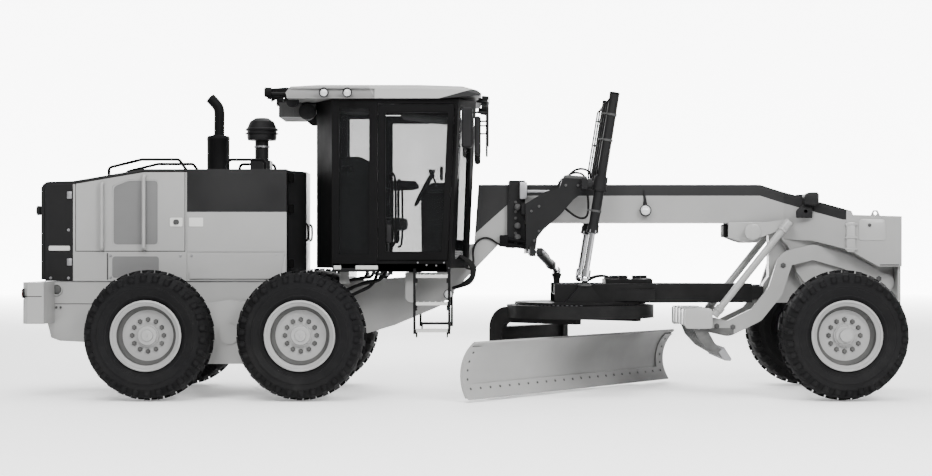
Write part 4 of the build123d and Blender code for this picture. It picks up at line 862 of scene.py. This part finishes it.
def lamps():
    """Lens and rim for each round lamp under the roof's edge, front and rear."""
    rim = [(0.047, 0), (0.05, 0.004), (0.05, 0.022), (0.042, 0.026), (0.039, 0.018)]
    dome = [(0.039, 0), (0.038, 0.007), (0.026, 0.013), (0.01, 0.016)]
    for number, x in enumerate((-1.476, -1.236)):
        both(f"side_lamp_rim_{number}", turned(rim, 32, (x, -0.85, 3.132), RIGHT), PLASTIC)
        both(f"side_lamp_lens_{number}", turned(dome, 32, (x, -0.866, 3.128), RIGHT), LENS, smooth=60)
    for number, y in enumerate((-0.64, -0.42)):
        glass = block((-2.112, y - 0.038, 3.115), (-2.1, y + 0.038, 3.193), 0.006)
        both(f"rear_lamp_lens_{number}", glass, LENS)
    for number, y in enumerate((-0.62, -0.52)):
        glass = turned([(0.04, 0), (0.038, 0.006), (0.02, 0.012)], 28, (0.209, y, 3.07), AHEAD)
        both(f"front_lamp_lens_{number}", glass, LENS, smooth=60)


def roof_gear():
    """Bracket, lamps and blower drums hung behind the cab under the roof's rear end."""
    bracket = [(-2.07, 3.2), (-1.89, 3.215), (-1.75, 3.19), (-1.74, 3.1)]
    bracket += [(-1.86, 3.05), (-1.93, 3.12), (-2.05, 3.06)]
    both("roof_bracket", plate(bracket, -0.55, -0.012, 0.004, 1), TRIM_PAINT)
    lamp = [(0.03, 0), (0.055, 0.012), (0.064, 0.04), (0.064, 0.075), (0.055, 0.08), (0.05, 0.07)]
    both("roof_drum_lamp", turned(lamp, 32, (-1.82, -0.56, 3.06), RIGHT), PLASTIC)
    blower = [(0.07, 0), (0.088, 0.01), (0.088, 0.09), (0.07, 0.1), (0.04, 0.104)]
    both("blower_drum", turned(blower, 36, (-1.69, -0.34, 2.975), RIGHT), PLASTIC)
    rows = (-1.97, -1.94, -1.91, -1.88, -1.85, -1.82, -1.79)
    fins = [block((x, -0.333, 2.935), (x + 0.006, -0.327, 3.06), 0.001, 1) for x in rows]
    both("cooler_fins", fuse(*fins), CHASSIS_PAINT)


def cab_outside():
    """Sill skirt, plates and bolts, door grab bars and latches, mirror glass and the antenna's foot."""
    y = SILL_Y
    both("sill_skirt", block((-1.4, y + 0.005, 1.296), (-0.22, y + 0.04, 1.385), 0.006, 2), DARK_PAINT)
    both("door_threshold", block((-0.92, -0.664, 1.4), (-0.2, -0.655, 1.46), 0.002, 1), FLAT_BLACK_AND_SHADE)
    ends = ((-1.385, -1.31), (-1.16, -0.93))
    plates = [block((x0, y, 1.322), (x1, y + 0.008, 1.362), 0.002, 1) for x0, x1 in ends]
    both("sill_plate", fuse(*plates), PALE)
    places = ((-0.52, 1.39), (-0.43, 1.365), (-0.33, 1.36), (-0.25, 1.39), (-0.2, 1.33))
    both("sill_bolt", bolt_heads([(x, y + 0.004, z) for x, z in places], RIGHT, 0.011, 0.007), STEEL)
    bends = [(-0.79, -0.73, 2.31), (-0.79, -0.765, 2.31), (-0.77, -0.775, 2.31), (-0.745, -0.775, 2.25)]
    bends += [(-0.745, -0.775, 1.62), (-0.77, -0.775, 1.56), (-0.79, -0.765, 1.56), (-0.79, -0.73, 1.56)]
    both("door_grab_bar", hose(bends, 0.012), TRIM_PAINT, "cab_door_{}", smooth=60)
    latch = block((-0.84, y - 0.02, 1.6), (-0.79, y + 0.01, 1.78), 0.008)
    both("door_latch_plate", latch, PLASTIC, "cab_door_{}")
    glass = block((-0.0735, -0.945, 2.6), (-0.069, -0.805, 2.94), 0.002, 2)
    wide = block((0.0585, -0.915, 2.52), (0.063, -0.815, 2.86), 0.002, 2)
    both("mirror_glass", fuse(glass, wide), MIRROR)
    done("antenna_foot", rod((-1.62, -0.3, 3.19), (-1.62, -0.3, 3.225), 0.012, 16), PLASTIC)


pad("seat_cushion", (-1.13, -0.26, 1.74), (-0.66, 0.26, 1.86))
pad("seat_back", (-1.25, -0.24, 1.84), (-1.12, 0.24, 2.34))
pad("head_rest", (-1.25, -0.13, 2.36), (-1.15, 0.13, 2.52))
lamps()
roof_gear()
cab_outside()

# ---- cab interior and what hangs under the cab --------------------------------------------------


def cab_interior():
    """Side cabinets behind the doors, arm rests, column shroud, display, levers, pedals and lining."""
    cabinet = [(-1.42, 1.36), (-0.97, 1.36), (-0.97, 2.3), (-1.02, 2.44), (-1.12, 2.49), (-1.42, 2.49)]
    slot = block((-1.32, -0.7, 2.33), (-1.2, -0.3, 2.39), 0.012)
    both("side_cabinet", carve(plate(cabinet, -0.6, 0.16, 0.02, 3), slot), INTERIOR)
    both("rear_pillar_trim", block((-1.45, -0.66, 2.45), (-1.345, -0.55, 3.04), 0.02), INTERIOR)
    rest = [(-1.08, 2.16), (-0.6, 2.18), (-0.54, 2.2), (-0.55, 2.25), (-1.08, 2.26)]
    both("arm_rest", plate(rest, -0.36, 0.08, 0.014, 3), INTERIOR)
    shroud = [(-0.5, 1.39), (-0.17, 1.39), (-0.12, 2.1), (-0.2, 2.24), (-0.4, 2.24), (-0.51, 2.12)]
    done("column_shroud", plate(shroud, -0.15, 0.3, 0.03, 3), INTERIOR)
    done("side_display", block((-0.3, -0.4, 2.26), (-0.27, -0.2, 2.4), 0.01), INTERIOR)
    knob = [(0.012, 0), (0.02, 0.012), (0.023, 0.035), (0.018, 0.055), (0.008, 0.062)]
    levers = (-0.3, -0.24, -0.18, 0.18, 0.24, 0.3)
    knobs = [turned(knob, 16, (-0.386, y, 2.318), (-0.37, 0, 0.93)) for y in levers]
    done("lever_knobs", fuse(*knobs), INTERIOR, smooth=60)
    pedals = [block((-0.52, y - 0.045, 1.4), (-0.44, y + 0.045, 1.425), 0.006) for y in (-0.22, 0.22)]
    done("pedals", fuse(*pedals), STEEL)
    lining = [(-0.75, 3.0), (-0.12, 3.0), (-0.1, 2.93), (-0.2, 2.9), (-0.72, 2.96)]
    done("head_lining", plate(lining, -0.5, 1.0, 0.01, 2), INTERIOR)


def cab_under():
    """Hoses and fittings under the cab, its mounting bracket, the step lamp and the steps' grips."""
    routes = [
        [(-0.86, -0.46, 1.3), (-0.9, -0.5, 1.2), (-1.1, -0.5, 1.18), (-1.32, -0.42, 1.08),
         (-1.44, -0.28, 1.02)],
        [(-0.95, -0.4, 1.3), (-0.98, -0.44, 1.16), (-1.16, -0.44, 1.08), (-1.36, -0.34, 0.98),
         (-1.46, -0.22, 0.96)],
        [(-1.05, -0.52, 1.3), (-1.06, -0.55, 1.22), (-1.2, -0.54, 1.22), (-1.38, -0.46, 1.16),
         (-1.46, -0.34, 1.1)],
    ]
    both("cab_hose", fuse(*[hose(route, 0.018) for route in routes]), HOSE_RUBBER, smooth=60)
    nut = [(0.024, 0), (0.026, 0.004), (0.026, 0.03), (0.022, 0.034)]
    nuts = [turned(nut, 6, (x, y, z - 0.05), UP) for x, y, z in [route[0] for route in routes]]
    both("hose_nut", fuse(*nuts), STEEL)
    mount = [(-0.66, 1.29), (-0.66, 1.02), (-0.62, 0.98), (-0.56, 0.98), (-0.53, 1.29)]
    both("cab_mount", plate(mount, -0.56, 0.2, 0.012, 2), PAINT)
    shell = [(0.02, 0), (0.035, 0.006), (0.05, 0.03), (0.05, 0.05), (0.044, 0.053), (0.041, 0.046)]
    shell = turned(shell, 28, (-0.21, -0.41, 1.06), RIGHT)
    both("step_lamp", fuse(shell, rod((-0.21, -0.16, 1.1), (-0.21, -0.42, 1.08), 0.012)), PLASTIC)
    glass = turned([(0.043, 0), (0.04, 0.007), (0.02, 0.013)], 28, (-0.21, -0.457, 1.06), RIGHT)
    both("step_lamp_lens", glass, LENS, smooth=60)
    grips = []
    for z in (0.712, 0.987, 1.267):
        for x in (-0.52, -0.46, -0.4, -0.34, -0.28, -0.22):
            grips.append(block((x, -0.94, z - 0.002), (x + 0.012, -0.77, z + 0.007), 0.002, 1))
        grips.append(block((-0.53, -0.949, z - 0.03), (-0.21, -0.943, z + 0.003), 0.002, 1))
    both("step_grip", fuse(*grips), PALE)
    line = [(-0.12, -0.5, 1.42), (0.0, -0.48, 1.3), (0.06, -0.34, 1.36), (0.04, -0.22, 1.52)]
    line += [(0.1, -0.19, 1.64), (0.22, -0.185, 1.66), (0.34, -0.2, 1.56), (0.46, -0.22, 1.56)]
    both("neck_hose", hose(line, 0.011), HOSE_RUBBER, smooth=60)
    thick = []
    for s in (0, 0.05):
        line = [(-0.1, -0.52 + s, 1.46), (0.03 + s, -0.5 + s, 1.4), (0.05, -0.42, 1.24 - s)]
        thick.append(hose(line + [(-0.08, -0.36, 1.14), (-0.16, -0.22, 1.12)], 0.019))
    both("cab_front_hose", fuse(*thick), HOSE_RUBBER, smooth=60)


cab_interior()
cab_under()

# ---- saddle, lift and side shift ----------------------------------------------------------------
LIFT_LEAN = radians(9.1)
LIFT_UP = (sin(LIFT_LEAN), 0, cos(LIFT_LEAN))
LIFT_DOWN = (-LIFT_UP[0], 0, -LIFT_UP[2])
TRUNNION = Vector((1.376, -0.5, 2.213))
BEAM_SIDE_Y, ARM_SIDE_Y = -0.226, -0.432
SWING_START, SWING_END = Vector((0.735, -0.56, 1.5)), Vector((0.96, 0.31, 1.3))


def lift_axis(distance, x=0.0, y=0.0):
    """Point beside the right-hand lift cylinder's axis, distance above the trunnion."""
    lean, rise = sin(LIFT_LEAN), cos(LIFT_LEAN)
    return TRUNNION + Vector((distance * lean + x * rise, y, distance * rise - x * lean))


def lift_fittings():
    """Hard lines, clamps, caps and glands on the lift cylinders, which move with the barrels."""
    body = "lift_barrel_{}"
    for number, x in enumerate((-0.062, -0.084)):
        top = 0.9 - number * 0.04
        bends = [(top, x + 0.03, -0.02), (0.88 - number * 0.04, x, -0.03), (0.8, x, -0.03), (0.3, x, -0.03)]
        bends += [(0.12, x, -0.03), (0.09, x + 0.02, -0.02)]
        pipe = hose([lift_axis(*bend) for bend in bends], 0.009)
        both(f"lift_pipe_{number}", pipe, TRIM_PAINT, body, 60)
    clamps = []
    for s in (0.72, 0.45, -0.3):
        band = [(0.05, 0), (0.059, 0), (0.059, 0.022), (0.05, 0.022)]
        clamps.append(turned(band, 32, lift_axis(s), LIFT_UP))
        low, high = lift_axis(s, -0.095), lift_axis(s + 0.022, -0.045)
        clamps.append(block((low.x, -0.545, low.z), (high.x, -0.515, high.z), 0.003, 1))
    both("lift_clamp", fuse(*clamps), CHASSIS_PAINT, body)
    cap = [(0.051, 0), (0.054, 0.004), (0.054, 0.02), (0.046, 0.026), (0.02, 0.028)]
    both("lift_cap", turned(cap, 36, lift_axis(0.942), LIFT_UP), TRIM_PAINT, body)
    gland = [(0.059, 0), (0.064, 0.006), (0.064, 0.03), (0.056, 0.036), (0.042, 0.038), (0.042, 0.046)]
    both("lift_gland", turned(gland, 6, lift_axis(-0.485), LIFT_DOWN), STEEL, body)


def saddle_fittings():
    """Lock pins, bolts, top cover, hoses and valve on the saddle and its arms."""
    cover = [(1.0, 2.275), (1.0, 2.3), (1.02, 2.31), (1.24, 2.296), (1.25, 2.262)]
    both("arm_cover", plate(cover, -0.43, 0.12, 0.006, 2), CHASSIS_PAINT)
    pin = [(0.028, 0), (0.034, 0.005), (0.034, 0.05), (0.026, 0.058), (0.026, 0.075), (0.018, 0.08)]
    pins = [turned(pin, 24, (0.52, -0.222, z), RIGHT) for z in (1.98, 1.78, 1.66)]
    both("saddle_pin", fuse(*pins), CHASSIS_PAINT)
    latch = rod((0.58, -0.25, 2.14), (0.98, -0.4, 2.13), 0.019)
    both("saddle_lock", fuse(latch, block((0.54, -0.3, 2.06), (0.62, -0.22, 2.24), 0.012)), STEEL)
    bolts = [(0.5, BEAM_SIDE_Y, z) for z in (1.6, 1.7, 1.86, 1.93, 2.03)]
    both("saddle_bolt", bolt_heads(bolts, RIGHT, 0.018, 0.014), CHASSIS_PAINT)
    places = ((0.66, 1.93), (0.74, 1.98), (0.69, 1.62), (0.74, 1.72), (1.02, 2.2), (1.15, 2.2))
    bolts = [(x, ARM_SIDE_Y, z) for x, z in places]
    both("arm_bolt", bolt_heads(bolts, RIGHT, 0.016, 0.012), CHASSIS_PAINT)
    loop = [(1.05, -0.36, 2.3), (1.1, -0.4, 2.36), (1.2, -0.42, 2.38)]
    loop += [(1.28, -0.42, 2.34), (1.29, -0.41, 2.27)]
    low = [(0.98, -0.34, 2.0), (1.08, -0.36, 1.9), (1.2, -0.4, 1.84), (1.27, -0.42, 1.9), (1.25, -0.42, 2.1)]
    both("arm_hose", fuse(hose(loop, 0.012), hose(low, 0.012)), HOSE_RUBBER, smooth=60)
    valve = block((0.33, -0.3, 1.56), (0.42, -0.18, 1.68), 0.01)
    feeds = [rod((0.4, -0.27, z), (0.62, -0.3, z - 0.035), 0.02) for z in (1.585, 1.64)]
    both("neck_valve", fuse(valve, *feeds), TRIM_PAINT)


def swing_fittings():
    """Pipe and gland on the side-shift cylinder."""
    along = (SWING_END - SWING_START).normalized()
    bends = ((0.12, 0.045), (0.14, 0.07), (0.3, 0.07), (0.52, 0.07), (0.56, 0.045))
    pipe = hose([SWING_START + along * run + Vector(UP) * rise for run, rise in bends], 0.009)
    done("swing_pipe", pipe, TRIM_PAINT, "swing_barrel", 60)
    gland = [(0.052, 0), (0.056, 0.005), (0.056, 0.028), (0.05, 0.034), (0.036, 0.036)]
    done("swing_gland", turned(gland, 6, SWING_START + along * 0.615, along), STEEL, "swing_barrel")


def drawbar_fittings():
    """Cup for the side-shift cylinder's ball, and a dull black plate behind the rear cross member, painted
    shade over a face that would catch a highlight.
    """
    cup = [(0.036, 0), (0.036, 0.02), (0.05, 0.032), (0.054, 0.05), (0.05, 0.066)]
    done("swing_seat", turned(cup, 32, (0.96, 0.31, 1.205)), LINK_PAINT, "drawbar")
    done("drawbar_end_shade", block((0.8965, -0.438, 0.968), (0.901, 0.438, 1.057), 0.002, 1), FLAT_BLACK_AND_SHADE, "drawbar")


def beam_lamps():
    """Hanging work lamp on the beam's side, and the head lamps over the nose."""
    tilt = (0, -1, 0.15)
    shell = [(0.02, 0), (0.05, 0.01), (0.062, 0.03), (0.062, 0.055), (0.055, 0.058), (0.05, 0.05)]
    shell = turned(shell, 28, (1.877, -0.18, 1.935), tilt)
    hook = [(1.85, 1.97), (1.904, 1.97), (1.89, 2.06), (1.87, 2.16), (1.855, 2.16), (1.86, 2.05)]
    both("beam_lamp", fuse(shell, plate(hook, -0.172, -0.012, 0.003, 1)), PLASTIC)
    glass = [(0.052, 0), (0.05, 0.006), (0.03, 0.014), (0.01, 0.017)]
    glass = turned(glass, 28, (1.877, -0.232, 1.943), tilt)
    both("beam_lamp_lens", glass, LENS, smooth=60)
    head = [(3.52, 2.0), (3.53, 2.1), (3.58, 2.13), (3.67, 2.13), (3.675, 1.995), (3.62, 1.985)]
    head = plate(head, -0.42, 0.16, 0.014, 3)
    foot = [(3.45, 1.86), (3.45, 1.94), (3.54, 2.01), (3.62, 2.01), (3.62, 1.86)]
    foot = plate(foot, -0.36, 0.03, 0.008, 2)
    both("head_lamp", fuse(head, foot, rod((3.55, -0.16, 1.93), (3.55, -0.36, 1.93), 0.022)), PLASTIC)
    both("head_lamp_lens", block((3.668, -0.405, 2.015), (3.684, -0.275, 2.115), 0.006), LENS)


lift_fittings()
saddle_fittings()
swing_fittings()
drawbar_fittings()
beam_lamps()

# ---- blade and circle ---------------------------------------------------------------------------
BLADE_TURN = radians(39)
CIRCLE_X = 1.196
CIRCLE = (CIRCLE_X, 0, 0)
FACE_CENTRE = Vector((0.2526, 0.271))
EDGE_Z = 0.135
EDGE_BOLTS, CIRCLE_TEETH = 23, 72


def blade_point(x, y, z):
    """World place of a point given forward of, along and above the circle's centre."""
    ahead, across = cos(BLADE_TURN), sin(BLADE_TURN)
    return CIRCLE_X + x * ahead + y * across, -x * across + y * ahead, z


def face_at(z, radius):
    """How far forward the blade's hollow face of the given radius is at a height, and its normal."""
    rise = FACE_CENTRE.y - z
    reach = (radius**2 - rise**2) ** 0.5
    return FACE_CENTRE.x - reach, Vector(blade_point(reach / radius, 0, rise / radius)) - Vector(CIRCLE)


def blade_bolts():
    """Plough bolts along the cutting edge and up the end bits."""
    x, facing = face_at(EDGE_Z, 0.374)
    edge = [blade_point(x, -1.74 + 0.158 * number, EDGE_Z) for number in range(EDGE_BOLTS)]
    done("edge_bolts", bolt_heads(edge, facing, 0.014, 0.006), CHASSIS_PAINT, "moldboard")
    sets = []
    for z in (0.23, 0.32, 0.41, 0.5):
        x, facing = face_at(z, 0.376)
        sets.append(bolt_heads([blade_point(x, y, z) for y in (-1.76, 1.76)], facing, 0.013, 0.006))
    done("end_bit_bolts", fuse(*sets), CHASSIS_PAINT, "moldboard")


def blade_back():
    """Ribs behind the moldboard."""
    places = [-1.2 + 2.4 * number / 7 for number in range(8)]
    ribs = fuse(*[block((-0.182, y - 0.008, 0.135), (-0.148, y + 0.008, 0.47), 0.003, 1) for y in places])
    done("blade_ribs", stand(ribs, CIRCLE, turn=(0, 0, -BLADE_TURN)), BLADE_PAINT, "moldboard")


def circle_fittings():
    """Inner teeth of the circle, and the drive's cover bolts, motor, hoses and lift seats."""
    teeth = []
    for number in range(CIRCLE_TEETH):
        tooth = block((0.604, -0.012, 0.815), (0.628, 0.012, 0.93), 0.004, 1)
        teeth.append(stand(tooth, CIRCLE, turn=(0, 0, 2 * pi * number / CIRCLE_TEETH)))
    done("circle_teeth", fuse(*teeth), STEEL, "circle")
    bolts = [(x, y, 1.214) for x in (1.48, 1.92) for y in (-0.2, -0.07, 0.07, 0.2)]
    done("drive_bolts", bolt_heads(bolts, UP, 0.018, 0.012), CHASSIS_PAINT, "drawbar")
    motor = [(0.06, 0), (0.075, 0.008), (0.075, 0.02), (0.05, 0.026), (0.05, 0.036)]
    done("drive_motor", turned(motor, 8, (1.56, 0.02, 1.213), UP), TRIM_PAINT, "drawbar")
    for number, y in enumerate((-0.1, 0.06)):
        line = [(1.5, y, 1.215), (1.5, y, 1.24), (1.4, y, 1.25), (1.3, y * 1.6, 1.22), (1.22, y * 2, 1.16)]
        line = hose(line + [(1.12, y * 2.4, 1.075), (1.0, y * 2.4, 1.075)], 0.014)
        done(f"drive_hose_{number}", line, HOSE_RUBBER, "drawbar", smooth=60)
    seat = [(0.064, 0), (0.068, 0.004), (0.068, 0.016), (0.064, 0.02)]
    seats = [turned(seat, 32, (1.217, y, 1.145), UP) for y in (-0.5, 0.5)]
    done("lift_seat_ring", fuse(*seats), CHASSIS_PAINT, "drawbar")


blade_bolts()
blade_back()
circle_fittings()

# ---- scarifier and nose -------------------------------------------------------------------------
SHANKS = 9
BOLSTER_Y = -0.482


def scarifier_fittings():
    """Wear tips and pins on the shanks, clamps and ends on the toolbar, arm pins and strut collars."""
    tip = [(2.6, 0.46), (2.66, 0.515), (2.742, 0.385), (2.725, 0.366), (2.66, 0.372)]
    tips, pins = [], []
    for number in range(SHANKS):
        y = -0.54 + 0.135 * number
        tips.append(plate(tip, y - 0.021, 0.042, 0.005, 1))
        pins.append(rod((2.4, y - 0.024, 0.71), (2.4, y + 0.024, 0.71), 0.016, 12))
    done("shank_tips", fuse(*tips), STEEL, "scarifier")
    done("shank_pins", fuse(*pins), STEEL, "scarifier")
    end = plate(panel(2.25, 2.535, 0.705, 0.91, 0.03), -0.588, -0.018, 0.004, 2)
    both("toolbar_end", end, PAINT, "scarifier")
    clamps = [block((2.252, y - 0.04, 0.73), (2.53, y + 0.04, 0.912), 0.01, 2) for y in (-0.405, -0.135)]
    both("shank_clamp", fuse(*clamps), PAINT, "scarifier")
    bolts = [(x, -0.309, z) for x, z in ((2.62, 0.72), (2.79, 0.71), (3.32, 1.36), (4.33, 1.22))]
    both("arm_pin", bolt_heads(bolts, RIGHT, 0.03, 0.012), CHASSIS_PAINT, "scarifier")
    collar = [(0.038, -0.03), (0.05, -0.024), (0.05, 0.0), (0.046, 0.004), (0.05, 0.008), (0.05, 0.03)]
    collar.append((0.038, 0.036))
    strut = Vector((0.75, 0, 0.94)).normalized()
    collars = [turned(collar, 28, (x, -0.358, z), strut) for x, z in ((3.315, 1.746), (2.64, 0.9))]
    both("strut_collar", fuse(*collars), PAINT, "scarifier_struts")


def nose_fittings():
    """Rocker brackets and hubs, pipe guard with clamps, access panel and seams on the bolster."""
    bracket = [(2.76, 1.82), (2.76, 1.66), (2.86, 1.62), (2.93, 1.6), (3.06, 1.6), (3.13, 1.66), (3.16, 1.82)]
    bracket = plate(bracket, -0.172, -0.03, 0.008, 2)
    hole = turned([(0.064, -0.3), (0.064, 0.3)], 32, (3.0, -0.19, 1.715), (0, 1, 0))
    both("rocker_bracket", carve(bracket, hole), PAINT)
    hub = [(0.058, 0), (0.085, 0), (0.085, 0.014), (0.06, 0.02), (0.02, 0.022)]
    both("rocker_hub", turned(hub, 36, (3.0, -0.306, 1.715), RIGHT), PAINT, "scarifier_rocker")
    done("rocker_valve", block((2.72, -0.12, 1.66), (2.77, 0.12, 1.8), 0.014), TRIM_PAINT)
    y = BOLSTER_Y
    guard = plate(panel(3.945, 4.04, 1.5, 1.815, 0.02), y + 0.004, -0.03, 0.008, 2)
    straps = []
    for z in (1.52, 1.64, 1.78):
        straps.append(block((3.935, y - 0.034, z), (4.06, y + 0.004, z + 0.022), 0.005, 1))
    both("pipe_guard", fuse(guard, *straps), PAINT)
    both("access_panel", plate(panel(4.08, 4.36, 1.62, 1.845, 0.035), y + 0.004, -0.009, 0.003, 2), PAINT)
    latch = [(0.016, 0), (0.018, 0.003), (0.018, 0.01), (0.012, 0.013)]
    latch = turned(latch, 20, (4.19, y - 0.004, 1.782), RIGHT)
    both("panel_latch", latch, CHASSIS_PAINT)
    seam = block((4.3, y - 0.003, 1.36), (4.5, y + 0.004, 1.372), 0.003, 1)
    both("bolster_seam", seam, CHASSIS_PAINT)
    strips = [block((4.528, y - 0.03, 0.95), (4.538, y + 0.03, 1.1), 0.006) for y in (-0.36, 0.36)]
    done("nose_wear_strips", fuse(*strips), CHASSIS_PAINT)


scarifier_fittings()
nose_fittings()

# ---- stage --------------------------------------------------------------------------------------
FLOOR_SIZE, WALL_HEIGHT = 240, 24
WORLD_LIGHT = 0.4
BACKDROP_GLOW = 6.5
BACKDROP_Y, GLOW_START_Y = 45, 3
CAMERA_PLACE = (0.09, -17.93, 1.474)
STUDIO_LAMPS = (
    ((-4, -13, 11), (50, 0, -15), 7, 2700), ((7, -12, 9), (55, 0, 28), 5, 2600),
    ((0, 9, 9), (-50, 0, 0), 8, 1200), ((0, 0, 14), (0, 0, 0), 12, 2200),
)


def stage_floor():
    """Pale floor with a painted glow, faint near the machine and growing into the lit backdrop far behind it.
    """
    start()
    bpy.ops.mesh.primitive_plane_add(size=FLOOR_SIZE)
    edge = {"plane_co": (0, BACKDROP_Y, 0), "plane_no": (0, 1, 0), "clear_outer": True}
    floor = edited((bpy.ops.mesh.bisect, edge))
    floor.name = "floor"
    ground = Finish("pale_floor")
    ground.rough(0.8, 0.9)
    far = ground.math("SUBTRACT", ground.along((0, 1, 0)), GLOW_START_Y)
    far = ground.most(ground.times(far, 1 / (BACKDROP_Y - GLOW_START_Y)), 0.0)
    ground.use(
        Base_Color=ground.blend(ground.noise(0.3), (0.93, 0.93, 0.93), (0.9, 0.9, 0.9)),
        Emission_Color=ground.blend(ground.math("POWER", far, 1.6), (0.03, 0.03, 0.03), (1, 1, 1)),
        Emission_Strength=BACKDROP_GLOW,
    )
    floor.data.materials.append(ground.material)


def stage_backdrop():
    """Lit paper backdrop."""
    start()
    place = (0, BACKDROP_Y, WALL_HEIGHT / 2)
    bpy.ops.mesh.primitive_plane_add(size=1, location=place, rotation=(pi / 2, 0, 0))
    wall = bpy.context.object
    wall.scale = (FLOOR_SIZE, WALL_HEIGHT, 1)
    settle()
    wall.name = "backdrop"
    paper = Finish("lit_backdrop")
    paper.use(
        Base_Color=paper.blend(paper.noise(0.2), (0.9, 0.9, 0.9), (0.88, 0.88, 0.88)),
        Emission_Color=paper.blend(paper.noise(0.2), (1, 1, 1), (0.98, 0.98, 0.98)),
        Emission_Strength=BACKDROP_GLOW,
    )
    wall.data.materials.append(paper.material)


def set_lights():
    """White surroundings, and soft lamps given by place, turn in degrees, size and power."""
    world = bpy.context.scene.world or bpy.data.worlds.new("studio")
    bpy.context.scene.world = world
    world.use_nodes = True
    sky = world.node_tree.nodes["Background"].inputs
    sky["Color"].default_value = (1, 1, 1, 1)
    sky["Strength"].default_value = WORLD_LIGHT
    for place, turn, size, power in STUDIO_LAMPS:
        bpy.ops.object.light_add(type="AREA", location=place, rotation=[radians(angle) for angle in turn])
        lamp = bpy.context.object.data
        lamp.size = size
        lamp.energy = power


def set_camera():
    """Long lens, level with the tyres' tops, square on to the right-hand side."""
    bpy.ops.object.camera_add(location=CAMERA_PLACE, rotation=(pi / 2, 0, 0))
    camera = bpy.context.object
    camera.data.sensor_width = 36
    camera.data.lens = 64.5
    camera.data.shift_x = -0.0118
    camera.data.shift_y = 0.0178
    bpy.context.scene.camera = camera


stage_floor()
stage_backdrop()
set_lights()
set_camera()
